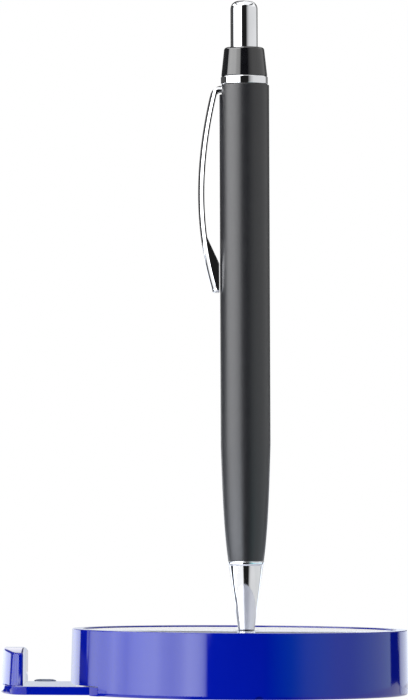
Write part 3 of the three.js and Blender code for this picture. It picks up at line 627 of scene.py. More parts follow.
def phone_ledge():
    """The tongue with its lip, and inside the base a springy arm and a guiding wing on each side."""
    lip = lip_body()
    end = end_arc(-LEDGE_REACH + TONGUE_SETBACK, LEDGE_END_RADIUS, LEDGE_HALF_WIDTH, 12)
    for i in (0, -1):
        end[i] = (*end[i], TONGUE_CORNER)
    corners = [*end, (LEDGE_INNER_X, -LEDGE_HALF_WIDTH), (LEDGE_INNER_X, LEDGE_HALF_WIDTH)]
    tongue = prism("tongue", [(p.x, p.y) for p in rounded(corners, 16)], LEDGE_BOTTOM, LEDGE_TOP)
    wings = []
    slits = []
    for side in (1, -1):
        middle = side * (LEDGE_HALF_WIDTH - ARM_WIDTH)
        near, far = sorted((middle, side * WING_HALF_WIDTH))
        wings.append(box("wing", (WING_OUTER_X, near, LEDGE_TOP - WING_THICKNESS),
                         (LEDGE_INNER_X, far, LEDGE_TOP)))
        slits.append(box("slit", (LEDGE_INNER_X - SLIT_LENGTH, middle - SLIT_HALF_WIDTH, -CUT),
                         (LEDGE_INNER_X + CUT, middle + SLIT_HALF_WIDTH, LEDGE_TOP + CUT)))
    combine(tongue, wings, "UNION")
    combine(tongue, slits, "DIFFERENCE")
    bevel(tongue, TONGUE_EDGE)
    combine(lip, [tongue], "UNION")
    soften(lip)
    flat_faces(lip)
    lip.visible_glossy = False
    return dress(lip, "phone_ledge", "ledge")


def ledge_pad():
    """A low oval cushion, whose section gives the inset at each height."""
    bottom = LEDGE_TOP + FIT_GAP
    rings = []
    for height, inset in PAD_SECTION:
        ring = []
        for k in range(PAD_STEPS):
            angle = 2 * math.pi * k / PAD_STEPS
            x = PAD_CENTRE[0] + (PAD_HALF_LENGTH - inset) * math.cos(angle)
            y = PAD_CENTRE[1] + (PAD_HALF_WIDTH - inset) * math.sin(angle)
            ring.append((x, y, bottom + height))
        rings.append(ring)
    pad = loft("oval_pad", rings)
    pad.visible_glossy = False
    return dress(pad, "ledge_pad", "ledge")


def top_inlay():
    """A thin pale disc with a softly rolled edge, and a hole for the pen."""
    disc = lathe("inlay", [
        (0, INLAY_BOTTOM),
        (INLAY_RADIUS, INLAY_BOTTOM),
        (INLAY_RADIUS, INLAY_TOP, 0.03),
        (0, INLAY_TOP),
    ], BASE_SIDES)
    radius = mouth_radius() + 2 * MOUTH_CHAMFER + RUNNING_GAP
    bore = tube("bore", 0, radius, INLAY_BOTTOM - CUT, INLAY_TOP + CUT, HOLE_SIDES, (PEN_X, 0))
    combine(disc, [bore], "DIFFERENCE")
    soften(disc)
    return dress(disc, "top_inlay", "base")


def sole_outline(gap=0.0):
    """The sole's horseshoe in plan, or that of its recess, which is larger by a gap. Known fault: loft can't
    close the ends of this form, so the cuts leave only slivers of the sole, and a thin sheet across the plate's
    channel."""
    radius = SOLE_RADIUS + gap
    half_width = SOLE_INNER_HALF_WIDTH - gap
    start = math.pi - math.asin(half_width / radius)
    points = []
    for step in range(SOLE_STEPS + 1):
        angle = -start + 2 * start * step / SOLE_STEPS
        points.append((radius * math.cos(angle), radius * math.sin(angle)))
    return points + [(SOLE_END_X - gap, half_width), (SOLE_END_X - gap, -half_width)]


def base_plate():
    """The plate that closes the base, with a tab below the slot, a channel for the ledge and screw cups."""
    joined = PLATE_TOP - PLATE_OVERLAP
    plate = tube("plate", 0, PLATE_RADIUS, BASE_BOTTOM, PLATE_TOP, BASE_SIDES)
    tab = box("tab", (OUTSIDE_X, -TAB_HALF_WIDTH, BASE_BOTTOM), (TAB_INNER_X, TAB_HALF_WIDTH, LEDGE_TOP))
    flush = tube("flush", 0, BASE_RADIUS - FIT_GAP, -CUT, PLATE_TOP + CUT, BASE_SIDES)
    combine(tab, [flush], "INTERSECT")
    stem = tube("stem", 0, STEM_RADIUS, joined, STEM_TOP, BOSS_SIDES, (PEN_X, 0))
    cups = [tube("cup", 0, CUP_RADIUS, joined, CUP_TOP, SCREW_SIDES, place) for place in screw_places()]
    combine(plate, [tab, stem, *cups], "UNION")
    half_width = LEDGE_HALF_WIDTH + RUNNING_GAP
    channel = box("channel", (OUTSIDE_X, -half_width, -CUT), (CHANNEL_END_X, half_width, STEM_TOP + CUT))
    half_width = WING_HALF_WIDTH + RUNNING_GAP
    wing_floor = LEDGE_TOP - WING_THICKNESS - RUNNING_GAP
    rebate = box("rebate", (WING_OUTER_X - 2 * RUNNING_GAP, -half_width, wing_floor),
                 (CHANNEL_END_X, half_width, STEM_TOP + CUT))
    recess = prism("recess", sole_outline(RUNNING_GAP), -CUT, SOLE_TOP + FIT_GAP)
    bore = [
        (0, -CUT),
        (SCREW_HEAD_BORE, -CUT),
        (SCREW_HEAD_BORE, SCREW_SEAT),
        (SCREW_BORE, SCREW_SEAT),
        (SCREW_BORE, CUP_TOP + CUT),
        (0, CUP_TOP + CUT),
    ]
    bores = [lathe("bore", bore, SCREW_SIDES, place) for place in screw_places()]
    combine(plate, [channel, rebate, recess, *bores], "DIFFERENCE")
    soften(plate)
    return dress(plate, "base_plate", "base")


def grip_pad():
    """The rubber sole, with shallow ring grooves that give it grip."""
    sole = prism("grip_sole", sole_outline(), 0, SOLE_TOP)
    grooves = []
    for radius in GROOVE_RADII:
        inner, outer = radius - GROOVE_HALF_WIDTH, radius + GROOVE_HALF_WIDTH
        grooves.append(tube("groove", inner, outer, -GROOVE_CUT, GROOVE_DEPTH, SOLE_STEPS))
    combine(sole, grooves, "DIFFERENCE")
    soften(sole)
    return dress(sole, "grip_pad", "base")


def pen_socket():
    top = CEILING - FIT_GAP
    bottom = top - SOCKET_HEIGHT
    insert = lathe("socket_insert", [
        (SOCKET_BORE, bottom),
        (SOCKET_RADIUS, bottom, 0.15),
        (SOCKET_RADIUS, top),
        (cone_radius(top - PEN_POINT) + RUNNING_GAP, top, 0.12),
        (SOCKET_SEAT_RADIUS, SOCKET_SEAT, 0.05),
        (SOCKET_BORE, SOCKET_SEAT),
    ], HOLE_SIDES, (PEN_X, 0))
    return dress(insert, "pen_socket", "base")


# Pen

PEN_PLACE = Matrix.Translation((PEN_X, 0, PEN_POINT)) @ Matrix.Rotation(math.radians(-PEN_LEAN), 4, "Y")


def stand(piece):
    """Puts a piece that was made about the pen's own axis, up from its point, into the leaning pen."""
    piece.data.transform(PEN_PLACE)
    return piece


def turned(name, profile, sides=TURNED_SIDES):
    return stand(lathe(name, profile, sides))


def nose_cone():
    bead_bottom = BARREL_BOTTOM - BEAD_HEIGHT
    thread_top = BARREL_BOTTOM + 7
    profile = [
        (0.62, 0.0, 0.03),
        (CONE_TIP_RADIUS, 0.0, 0.2),
        (cone_radius(bead_bottom), bead_bottom, 0.3),
        (BEAD_RADIUS, bead_bottom + 0.3, 0.2),
        (BEAD_RADIUS, BARREL_BOTTOM - FIT_GAP, 0.18),
        (3.05, BARREL_BOTTOM - FIT_GAP),
        (3.05, thread_top, 0.2),
        (2.0, thread_top),
        (2.0, SPRING_BOTTOM - FIT_GAP),
        (1.35, SPRING_BOTTOM - FIT_GAP),
        (1.35, 4.3),
        (0.87, 0.9),
        (0.62, 0.9),
    ]
    return dress(turned("cone", profile), "nose_cone", "pen")


def barrel_radius(share):
    """Radius of the barrel at a share of its taper, from 0 at the neck to 1 at the full width."""
    left = 1 - share
    return BARREL_RADIUS - (BARREL_RADIUS - NECK_RADIUS) * (0.52 * left + 0.48 * left**3.5)


def barrel():
    taper = []
    for step in range(TAPER_STEPS + 1):
        share = step / TAPER_STEPS
        taper.append((barrel_radius(share), BARREL_BOTTOM + TAPER_LENGTH * share))
    taper[0] = (*taper[0], 0.06)
    body = lathe("barrel_tube", [
        (NECK_BORE, BARREL_BOTTOM, 0.03),
        *taper,
        (BARREL_RADIUS, BARREL_TOP, 0.15),
        (BARREL_BORE, BARREL_TOP),
        (BARREL_BORE, BARREL_BOTTOM + 12),
        (NECK_BORE, BARREL_BOTTOM + 8),
    ])
    half_width = CLIP_BLANK_HALF_WIDTH + FIT_GAP
    notch = box("notch", (-6.5, -half_width, BARREL_TOP - 2.1), (-2.68, half_width, BARREL_TOP + CUT))
    combine(body, [notch], "DIFFERENCE")
    soften(body)
    return dress(stand(body), "barrel", "pen")


def trim_ring():
    return dress(turned("ring", [
        (BARREL_BORE, BARREL_TOP + FIT_GAP),
        (RING_RADIUS, BARREL_TOP + FIT_GAP, 0.28),
        (RING_RADIUS, RING_TOP - FIT_GAP, 0.28),
        (BARREL_BORE, RING_TOP - FIT_GAP),
    ]), "trim_ring", "pen")


def top_collar():
    sleeve_bottom = BARREL_TOP - COLLAR_SLEEVE
    return dress(turned("collar", [
        (COLLAR_BORE, sleeve_bottom),
        (COLLAR_SLEEVE_RADIUS, sleeve_bottom),
        (COLLAR_SLEEVE_RADIUS, RING_TOP),
        (COLLAR_RADIUS, RING_TOP, 0.12),
        (COLLAR_TOP_RADIUS, COLLAR_TOP, 0.6),
        (COLLAR_BORE, COLLAR_TOP, 0.1),
    ]), "top_collar", "pen")


def push_button():
    """A hollow cap. When it is pressed, its lower end comes level with that of the collar's sleeve."""
    shoulder = BUTTON_TOP - BUTTON_CROWN
    bottom = BARREL_TOP - COLLAR_SLEEVE + BUTTON_TRAVEL
    return dress(turned("button_cap", [
        (0, shoulder - 0.7),
        (BUTTON_BORE, shoulder - 0.7),
        (BUTTON_BORE, bottom),
        (BUTTON_RADIUS, bottom, 0.05),
        (BUTTON_RADIUS, shoulder, 1.7),
        (0, BUTTON_TOP),
    ]), "push_button", "button")


def refill_point():
    return dress(turned("refill_point", [
        (0, 1.1),
        (0.42, 1.1, 0.3),
        (0.42, 5.7, 0.1),
        (1.15, 10.5, 0.3),
        (1.15, 27.5),
        (0, 27.5),
    ], BOSS_SIDES), "refill_tip", "refill")


def return_spring():
    """A round wire coiled from the nose's seat up to the refill tube. Nothing here squashes it as the refill
    comes down.
    """
    steps = SPRING_TURNS * SPRING_TURN_STEPS
    rings = []
    for step in range(steps + 1):
        angle = 2 * math.pi * SPRING_TURNS * step / steps
        height = SPRING_BOTTOM + SPRING_WIRE + (SPRING_LENGTH - 2 * SPRING_WIRE) * step / steps
        ring = []
        for k in range(SPRING_WIRE_SIDES):
            turn = 2 * math.pi * k / SPRING_WIRE_SIDES
            radius = SPRING_COIL + SPRING_WIRE * math.cos(turn)
            rise = SPRING_WIRE * math.sin(turn)
            ring.append((radius * math.cos(angle), radius * math.sin(angle), height + rise))
        rings.append(ring)
    spring = dress(stand(loft("coil", rings)), "return_spring", "pen")
    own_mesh(spring)


def clip_share(height):
    """Share of the clip's length at a height, from 0 at its end to 1 at its root."""
    return (height - CLIP_END) / CLIP_LENGTH


def clip_standoff(height):
    """Distance of the clip's outside from the barrel."""
    share = clip_share(height)
    across = 2 * share - 1
    bow = CLIP_BOW * (1 - across**2) * (1 - CLIP_BOW_SKEW * across)
    return CLIP_END_STANDOFF + (CLIP_ROOT_STANDOFF - CLIP_END_STANDOFF) * share + bow


def clip_half_width(height):
    return (CLIP_END_WIDTH + (CLIP_ROOT_WIDTH - CLIP_END_WIDTH) * clip_share(height)) / 2


def clip_side():
    """The clip seen from the side: bowed outside, curled over at the root, with a wedge foot and a tab.
    Points too near to the root's two roundings are left out."""
    wedge_top = CLIP_END + CLIP_WEDGE
    tab_bottom = CLIP_ROOT - CLIP_TAB
    tab_x = -BARREL_RADIUS + CLIP_TAB_REACH
    foot_x = -BARREL_RADIUS - RUNNING_GAP
    outer = []
    inner = []
    for i in range(CLIP_SIDE_STEPS + 1):
        height = CLIP_ROOT - CLIP_LENGTH * i / CLIP_SIDE_STEPS
        outer.append((-BARREL_RADIUS - clip_standoff(height), height))
        height = wedge_top + (tab_bottom - wedge_top) * i / CLIP_SIDE_STEPS
        inner.append((-BARREL_RADIUS - clip_standoff(height) + CLIP_THICKNESS, height))
    inner = [p for p in inner[:-1] if p[1] < tab_bottom - 1.2] + [(*inner[-1], CLIP_TAB_CORNER)]
    shoulder = [p for p in outer if p[1] < CLIP_ROOT - 0.87 * CLIP_SHOULDER]
    shoulder[-1] = (*shoulder[-1], 0.45)
    return rounded([
        (-BARREL_RADIUS - CLIP_ROOT_STANDOFF, CLIP_ROOT, CLIP_SHOULDER),
        *shoulder,
        (foot_x, CLIP_END, 0.15),
        (foot_x, CLIP_END + CLIP_FOOT),
        *inner,
        (tab_x, tab_bottom),
        (tab_x, CLIP_ROOT),
    ], 14)


def clip_section(height, narrowing=0.0):
    """The strip in plan at one height: an elliptic dome outside, straight inside."""
    half = clip_half_width(height) - narrowing
    outer = -BARREL_RADIUS - clip_standoff(height) - PAST
    ring = []
    for k in range(CLIP_ARC_STEPS + 1):
        angle = math.pi * k / CLIP_ARC_STEPS
        ring.append((outer + CLIP_DOME * (1 - math.sin(angle)), half * math.cos(angle), height))
    return ring + [(0.0, -half, height), (0.0, half, height)]


def clip_dome():
    """The clip's outside, domed across and rounded to a point at its end."""
    sections = []
    for i in range(CLIP_TIP_STEPS):
        angle = math.pi / 2 * i / CLIP_TIP_STEPS
        height = CLIP_END - 0.01 + CLIP_TIP * (1 - math.cos(angle))
        sections.append(clip_section(height, CLIP_TIP * (1 - math.sin(angle))))
    bottom = CLIP_END + CLIP_TIP
    top = CLIP_ROOT + 0.4
    for i in range(CLIP_STRIP_STEPS + 1):
        sections.append(clip_section(bottom + (top - bottom) * i / CLIP_STRIP_STEPS))
    return loft("dome", sections)


def clip_roof():
    """The half-round arch that the clip's root ends in, seen along its tab."""
    half_width, bottom = CLIP_ROOF_HALF_WIDTH, CLIP_END - CUT
    sections = []
    for x in (-12.0, 0.0):
        arch = []
        for k in range(CLIP_ARC_STEPS + 1):
            angle = math.pi * k / CLIP_ARC_STEPS
            arch.append((x, half_width * math.cos(angle), CLIP_ROOT - CLIP_TAB * (1 - math.sin(angle))))
        sections.append([*arch, (x, -half_width, bottom), (x, half_width, bottom)])
    return loft("roof", sections)


def pocket_clip():
    sides = (CLIP_BLANK_HALF_WIDTH, -CLIP_BLANK_HALF_WIDTH)
    strip = loft("pocket_clip", [[(p.x, y, p.y) for p in clip_side()] for y in sides])
    combine(strip, [clip_dome(), clip_roof()], "INTERSECT")
    bevel(strip, 0.06, 2, 40)
    soften(strip, 34)
    return dress(stand(strip), "clip", "clip")


base_shell()
base_plate()
grip_pad()
pen_socket()
phone_ledge()
ledge_pad()
top_inlay()
nose_cone()
barrel()
trim_ring()
top_collar()
push_button()
refill_point()
return_spring()
pocket_clip()


# Studio: cards of light, seen in mirrors or by matt surfaces only, and a white backdrop, all in metres

def glow(name, colour, strength):
    material = bpy.data.materials.new(name)
    material.use_nodes = True
    nodes = material.node_tree.nodes
    nodes.clear()
    emission = nodes.new("ShaderNodeEmission")
    emission.inputs["Color"].default_value = (*colour, 1.0)
    emission.inputs["Strength"].default_value = strength
    output = nodes.new("ShaderNodeOutputMaterial")
    material.node_tree.links.new(emission.outputs["Emission"], output.inputs["Surface"])
    return material


def show_only(obj, camera=False, glossy=False, diffuse=False):
    obj.visible_camera = camera
    obj.visible_glossy = glossy
    obj.visible_diffuse = diffuse
    obj.visible_transmission = False
    obj.visible_shadow = False
    obj.visible_volume_scatter = False


def studio_mesh(name, points, faces, material):
    mesh = bpy.data.meshes.new(name)
    mesh.from_pydata(points, [], faces)
    mesh.materials.append(material)
    obj = bpy.data.objects.new(name, mesh)
    bpy.context.scene.collection.objects.link(obj)
    return obj


def glow_by_point(name):
    """A light whose colour and strength are the mesh's own values, blended between its points."""
    material = glow(name, WHITE, 1.0)
    nodes = material.node_tree.nodes
    value = nodes.new("ShaderNodeAttribute")
    value.attribute_name = "light"
    emission = next(n for n in nodes if n.type == "EMISSION")
    material.node_tree.links.new(value.outputs["Color"], emission.inputs["Color"])
    return material


def blend(knots, angle, tint):
    """The light at an angle. A knot is (degrees, strength), or (degrees, strength, share of red in it). The
    tint is the share of red in the other knots, and the share of blue."""
    rows = [(*knot, tint[0])[:3] for knot in knots]
    for (a, low, low_red), (b, high, high_red) in zip(rows, rows[1:]):
        if a <= angle <= b:
            share = (angle - a) / (b - a)
            strength = low + (high - low) * share
            return (strength * (low_red + (high_red - low_red) * share), strength, strength * tint[1], 1.0)
    return (0.0, 0.0, 0.0, 1.0)


def light_strip(name, knots, edges, tint=(1.0, 1.0), glossy=True, diffuse=True):
    """A card along the knots' directions. The function edges gives its two edge points at an angle, in
    radians."""
    start, end = knots[0][0], knots[-1][0]
    steps = max(2, round((end - start) / 2))
    points, faces, light = [], [], []
    for k in range(steps + 1):
        degrees = start + (end - start) * k / steps
        for point in edges(math.radians(degrees)):
            points.append(point)
            light.extend(blend(knots, degrees, tint))
    for k in range(steps):
        faces.append((2 * k, 2 * k + 2, 2 * k + 3, 2 * k + 1))
    obj = studio_mesh(name, points, faces, glow_by_point(name))
    obj.data.attributes.new("light", "FLOAT_COLOR", "POINT").data.foreach_set("color", light)
    show_only(obj, glossy=glossy, diffuse=diffuse)
    return obj


def ring_light(name, knots, inner, outer, **shown):
    """A curved card about the base's axis. Its angles run from the camera's side to the right, and its two
    edges are (radius, height), so an upright card has equal radii and one on the floor has equal heights."""
    def edges(angle):
        x, y = math.sin(angle), -math.cos(angle)
        return [(radius * x, radius * y, height) for radius, height in (inner, outer)]
    return light_strip(name, knots, edges, **shown)


def band_card(name, knots, near, far):
    """A card for the base's side to mirror. Its angles are those at which the side throws back the camera's
    view, and its two edges are (distance from the side, height), so that it shows there as upright bands."""
    def edges(angle):
        facing = angle / 2 if angle <= math.pi else angle / 2 - math.pi
        side_x, side_y = BASE_SIDE * math.sin(facing), -BASE_SIDE * math.cos(facing)
        return [(side_x + reach * math.sin(angle), side_y - reach * math.cos(angle), height)
                for reach, height in (near, far)]
    return light_strip(name, knots, edges, COOL, diffuse=False)


def floor_ring(name, knots, reaches):
    """A ring light that lies on the floor between two radii, seen in mirrors only."""
    near, far = ((radius, FLOOR_CARD_HEIGHT) for radius in reaches)
    ring_light(name, knots, near, far, diffuse=False)


def floor_band(name, knots, reaches):
    """A band card that lies on the floor between two distances from the base's side."""
    near, far = ((reach, FLOOR_CARD_HEIGHT) for reach in reaches)
    band_card(name, knots, near, far)


def card(name, corners, strength, **shown):
    obj = studio_mesh(name, corners, [(0, 1, 2, 3)], glow(name, WHITE, strength))
    show_only(obj, **shown)


def upright_card(name, across, y, heights, strength):
    """A card that faces the camera, between two x and two heights, seen in mirrors only."""
    (left, right), (bottom, top) = across, heights
    corners = [(left, y, bottom), (right, y, bottom), (right, y, top), (left, y, top)]
    card(name, corners, strength, glossy=True)


def plane(name, low, high, z, strength, **shown):
    corners = [(low[0], low[1], z), (high[0], low[1], z), (high[0], high[1], z), (low[0], high[1], z)]
    card(name, corners, strength, **shown)


def square(name, half_width, z):
    """A level white square about the base's axis, which only the camera sees."""
    plane(name, (-half_width, -half_width), (half_width, half_width), z, 1.0, camera=True)


def backdrop_wall():
    points, faces = [], []
    for k in range(WALL_SIDES):
        angle = 2 * math.pi * k / WALL_SIDES
        for z in (WALL_BOTTOM, BACKDROP_TOP):
            points.append((BACKDROP * math.sin(angle), -BACKDROP * math.cos(angle), z))
        onward = 2 * ((k + 1) % WALL_SIDES)
        faces.append((2 * k, onward, onward + 1, 2 * k + 1))
    show_only(studio_mesh("backdrop", points, faces, glow("backdrop", WHITE, 1.0)), camera=True)


BASE_SIDE = BASE_RADIUS * MM
BACKDROP = 3.0
BACKDROP_TOP = 4.0
BACKDROP_FLOOR = -0.01
WALL_BOTTOM = -0.5
WALL_SIDES = 48
FLOOR_HALF_WIDTH = 1.5
SKY_HEIGHT = 0.9


STUDIO = 0.7
BACK = 0.75
FAR = 0.8
LOW_CARD_TOP = 0.026
BACK_CARD_TOP = 0.045
LIP_CARD_TOP = 0.075
HIGH_CARD_TOP = 0.42
UPPER_CARD_TOP = 0.75
FLOOR_CARD_HEIGHT = 0.0002
CONE_FLOOR = (0.03, 0.1)
CLIP_FLOOR = (0.18, 0.7)
RIM_CARD_BOTTOM = 0.5
LIP_TOP_CARD_TOP = 0.3
BAND_DISTANCE = 0.14
BAND_TOP = 0.017
COOL = (0.94, 1.1)

# Knots are (degrees, strength), or (degrees, strength, share of red).
# Low cards light the base's upright side, so their edges are the edges of its reflections.
LOW_LEFT = [
    (-128, 0.0), (-126, 1.2), (-122, 2.0), (-114, 2.45), (-106, 2.7), (-100, 3.2), (-94, 4.2), (-88, 3.8),
    (-82, 3.4), (-76, 4.4), (-66, 5.3), (-58, 5.6), (-52, 4.6), (-46, 4.2), (-40, 4.8), (-34, 6.2),
    (-28, 5.6), (-24.5, 4.0), (-22, 0.0),
]
LOW_RIGHT = [
    (16, 0.0, 0.0), (24, 0.19, 0.0), (34, 0.46, 0.1), (45, 0.81, 0.49), (56, 0.96, 0.59), (68, 0.91, 0.76),
    (80, 0.88, 0.76), (94, 1.05, 0.75), (111, 1.1, 0.83), (118, 1.13, 0.8), (122, 1.1, 0.8), (124, 0.0, 0.8),
]
LOW_BACK = [
    (136, 0.0), (138, 1.0), (141, 1.3), (145, 1.4), (150, 1.45), (162, 1.35), (172, 1.1), (178, 0.95),
    (184, 0.8), (190, 0.85), (194, 1.2), (198, 1.4), (205, 1.8), (209, 1.95), (215.5, 2.05), (217.5, 0.0),
]
# High cards are what the pen mirrors, and upper cards what rounded edges mirror.
HIGH_LEFT = [(-98, 0.0), (-94, 3.6), (-80, 4.7), (-48, 4.7), (-40, 3.6), (-24, 3.0), (-18, 0.0)]
HIGH_RIGHT = [
    (18, 0.0), (24, 0.3), (34, 0.62), (46, 0.82), (60, 0.85), (106, 0.9), (122, 0.9), (130, 0.7), (136, 0.0),
]
HIGH_BACK = [(128, 0.4), (140, 0.25), (180, 0.12), (200, 0.09), (266, 0.09)]
UPPER_LEFT = [(-104, 0.0), (-98, 4.6), (-80, 5.4), (-34, 6.6), (-24, 5.0), (-20, 0.0)]
UPPER_RIGHT = [(20, 0.0), (34, 0.5), (46, 0.8), (106, 1.2), (120, 1.4), (140, 0.0)]
# Two more cards stand on the low back one, for the lip's rounded top edge.
LIP_BACK = [(182, 0.0), (183, 1.0), (190, 1.2), (192, 1.5), (204, 1.9), (214, 2.2), (216, 0.0)]
LIP_TOP_BACK = [(182, 0.0), (183, 1.3), (195, 1.3), (197, 0.0)]
# Floor cards near the base are what the nose cone mirrors. In front, the floor stays dark.
CONE_LEFT = [(-104, 0.0), (-98, 1.2), (-24, 1.2), (-16, 0.0)]
CONE_RIGHT = [(16, 0.0), (28, 0.7), (40, 0.85), (126, 0.85), (142, 1.0), (180, 1.0)]
FLOOR_RIGHT = [
    (16.5, 0.0, 0.0), (24.6, 0.19, 0.3), (35, 0.4, 0.6), (46, 0.7, 0.85), (57, 0.8, 0.97), (70, 0.8, 0.99),
    (124, 0.85, 0.99), (126.5, 0.0, 0.99),
]
# The bowed clip mirrors the floor further out, and the rim's top edge mirrors cards above the clip's reach.
CLIP_FLOOR_LEFT = [(-180, 0.1), (-100, 0.1), (-94, 1.2), (-24, 1.2), (-18, 0.0)]
CLIP_FLOOR_RIGHT = [(16, 0.0), (24, 0.85), (114, 0.85), (118, 0.0)]
RIM_LEFT = [(-137, 0.0), (-131, 4.0), (-104, 4.6), (-98, 0.0)]
RIM_RIGHT = [(118, 1.2), (180, 1.0)]
# Bands stand close round the base, where the view that its side throws down hasn't yet met the floor.
BAND_LEFT = [
    (-127.5, 0.0), (-125.5, 1.2), (-122.5, 2.0), (-116.5, 2.45), (-108, 2.7), (-102, 3.2), (-96, 4.2),
    (-90, 3.8), (-84, 3.4), (-78, 4.4), (-67.5, 5.3), (-59.5, 5.6), (-53.5, 4.6), (-47, 4.2), (-41, 4.8),
    (-35, 6.2), (-29, 5.6), (-24.3, 4.0), (-21.8, 0.0),
]
BAND_RIGHT = [
    (16.5, 0.0, 0.0), (24.6, 0.19, 0.0), (35, 0.46, 0.1), (46, 0.81, 0.49), (57.5, 0.96, 0.59),
    (69.7, 0.91, 0.76), (82, 0.88, 0.76), (96, 1.05, 0.75), (113, 1.1, 0.83), (121, 1.13, 0.8),
    (124.5, 1.1, 0.8), (126.5, 0.0, 0.8),
]
BAND_BACK = [(140.5, 0.0), (142.5, 1.0), (145, 1.3), (147.5, 1.4), (152.5, 1.45), (164.5, 1.35), (179, 1.0)]
BAND_BACK_LEFT = [
    (181, 0.8), (187.5, 0.85), (191.5, 1.2), (195.5, 1.4), (202.5, 1.8), (206.5, 1.95), (216.5, 2.05),
    (218.5, 0.0),
]
# Some of them lie on the floor too, nearer to the base, where its side and the tongue look down on it.
LIP_FLOOR = [(-104, 0.0), *BAND_LEFT[5:]]
LIP_FLOOR_BACK = [*BAND_LEFT[:5], (-104, 2.95)]
# Matt surfaces see a bright floor, more on the left than on the right, and a light in front.
FLOOR_LIGHT = [
    (-180, 1.0), (-90, 1.05), (-30, 1.03), (0, 1.0), (30, 0.7), (60, 0.52), (90, 0.46), (130, 0.5),
    (180, 1.0),
]
FRONT_LIGHT = [(-65, 2.4), (-5, 2.4)]

ring_light("low_left", LOW_LEFT, (STUDIO, 0.0), (STUDIO, LOW_CARD_TOP), tint=COOL)
ring_light("low_right", LOW_RIGHT, (STUDIO, 0.0), (STUDIO, LOW_CARD_TOP), tint=COOL)
ring_light("low_back", LOW_BACK, (BACK, 0.0), (BACK, BACK_CARD_TOP), tint=COOL)
ring_light("high_left", HIGH_LEFT, (STUDIO, LOW_CARD_TOP), (STUDIO, HIGH_CARD_TOP), diffuse=False)
ring_light("high_back", HIGH_BACK, (FAR, LOW_CARD_TOP), (FAR, HIGH_CARD_TOP), diffuse=False)
ring_light("front_light", FRONT_LIGHT, (STUDIO, LOW_CARD_TOP), (STUDIO, HIGH_CARD_TOP), tint=COOL,
           glossy=False)
ring_light("high_right", HIGH_RIGHT, (STUDIO, LOW_CARD_TOP), (STUDIO, HIGH_CARD_TOP))
ring_light("upper_left", UPPER_LEFT, (STUDIO, HIGH_CARD_TOP), (STUDIO, UPPER_CARD_TOP))
ring_light("upper_right", UPPER_RIGHT, (STUDIO, HIGH_CARD_TOP), (STUDIO, UPPER_CARD_TOP))
ring_light("lip_back", LIP_BACK, (BACK, BACK_CARD_TOP), (BACK, LIP_CARD_TOP))
ring_light("lip_top_back", LIP_TOP_BACK, (BACK, LIP_CARD_TOP), (BACK, LIP_TOP_CARD_TOP))
plane("floor_back", (-0.06, 0.06), (0.04, 0.17), FLOOR_CARD_HEIGHT / 2, 1.2, glossy=True)

# Some of the cards on the floor overlap, so their order matters.
floor_ring("cone_left", CONE_LEFT, CONE_FLOOR)
floor_ring("cone_right", CONE_RIGHT, CONE_FLOOR)
for name, knots in (
    ("band_left", BAND_LEFT),
    ("band_right", BAND_RIGHT),
    ("band_back", BAND_BACK),
    ("band_back_left", BAND_BACK_LEFT),
):
    band_card(name, knots, (BAND_DISTANCE, 0.0), (BAND_DISTANCE, BAND_TOP))
floor_band("lip_floor", LIP_FLOOR, (CONE_FLOOR[1] - BASE_SIDE, BAND_DISTANCE))
floor_band("lip_floor_back", LIP_FLOOR_BACK, (CONE_FLOOR[1] - BASE_SIDE, 0.1))
floor_ring("floor_right", FLOOR_RIGHT, (CONE_FLOOR[1], CLIP_FLOOR[0]))
floor_ring("clip_floor_left", CLIP_FLOOR_LEFT, CLIP_FLOOR)
floor_ring("clip_floor_right", CLIP_FLOOR_RIGHT, CLIP_FLOOR)
ring_light("rim_left", RIM_LEFT, (STUDIO, RIM_CARD_BOTTOM), (STUDIO, UPPER_CARD_TOP), diffuse=False)
ring_light("rim_right", RIM_RIGHT, (STUDIO, RIM_CARD_BOTTOM), (STUDIO, UPPER_CARD_TOP), diffuse=False)
floor_band("floor_far_right", BAND_BACK, (0.004, BAND_DISTANCE))
floor_band("floor_far_left", BAND_BACK_LEFT, (0.004, BAND_DISTANCE))
upright_card("lip_back_card", (-0.039, 0.036), 0.14, (0.0, BAND_TOP), 0.9)

# Two dark cards beside the tongue keep the bright floor out of its near side.
upright_card("tongue_shade", (-0.046, -0.0285), -0.0256, (0.0, 0.003), 0.0)
plane("tongue_floor_shade", (-0.046, -0.0256), (-0.0285, -0.0172), 1.5 * FLOOR_CARD_HEIGHT, 0.0, glossy=True)

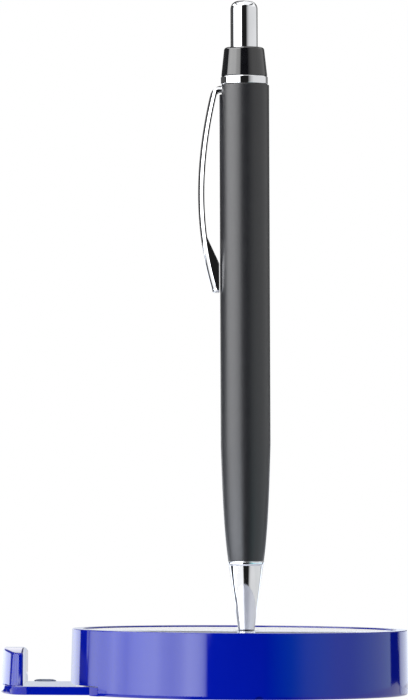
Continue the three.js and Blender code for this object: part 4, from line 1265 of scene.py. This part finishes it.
ring_light("floor_light", FLOOR_LIGHT, (0.001, 0.0), (1.5, 0.0), tint=COOL, glossy=False)
plane("overhead", (-0.5, -0.35), (0.5, 0.55), SKY_HEIGHT, 1.0, diffuse=True)
for name, low, high, strength in (
    ("sky_left", (-0.6, -0.6), (-0.05, 0.05), 4.5),
    ("sky_back_left", (-0.6, 0.05), (-0.05, 0.6), 0.8),
    ("sky_right", (-0.05, -0.6), (0.6, 0.6), 1.2),
):
    plane(name, low, high, SKY_HEIGHT, strength, glossy=True)
square("floor", FLOOR_HALF_WIDTH, 0.0)
backdrop_wall()
square("backdrop_top", BACKDROP, BACKDROP_TOP)
square("backdrop_floor", BACKDROP, BACKDROP_FLOOR)

world = bpy.data.worlds.new("studio")
world.use_nodes = True
world.node_tree.nodes["Background"].inputs["Color"].default_value = (*WHITE, 1.0)
world.node_tree.nodes["Background"].inputs["Strength"].default_value = 0.015
bpy.context.scene.world = world
bpy.context.scene.view_settings.view_transform = "Standard"
bpy.context.scene.view_settings.look = "None"


# Camera: a long lens from far in front. Its place and aim are in millimetres, its roll in degrees.

CAMERA_X = -7.945
CAMERA_HEIGHT = 39.5
CAMERA_DISTANCE = 1068.0
AIM_HEIGHT = 73.5
CAMERA_ROLL = 0.31
PIXELS_PER_MM = 4.68
PICTURE_HEIGHT = 700
SENSOR = 36.0
FOCUS_DISTANCE = 1068.5

camera_data = bpy.data.cameras.new("camera")
camera = bpy.data.objects.new("camera", camera_data)
bpy.context.scene.collection.objects.link(camera)
camera.location = Vector((CAMERA_X, -CAMERA_DISTANCE, CAMERA_HEIGHT)) * MM
target = Vector((CAMERA_X, 0.0, AIM_HEIGHT)) * MM
camera.rotation_mode = "QUATERNION"
level = (target - camera.location).to_track_quat("-Z", "Y")
camera.rotation_quaternion = level @ Quaternion((0.0, 0.0, 1.0), math.radians(CAMERA_ROLL))
camera_data.sensor_fit = "AUTO"
camera_data.sensor_width = SENSOR
camera_data.lens = PIXELS_PER_MM * FOCUS_DISTANCE / PICTURE_HEIGHT * SENSOR
camera_data.clip_start = 0.05
camera_data.clip_end = 20.0
bpy.context.scene.camera = camera
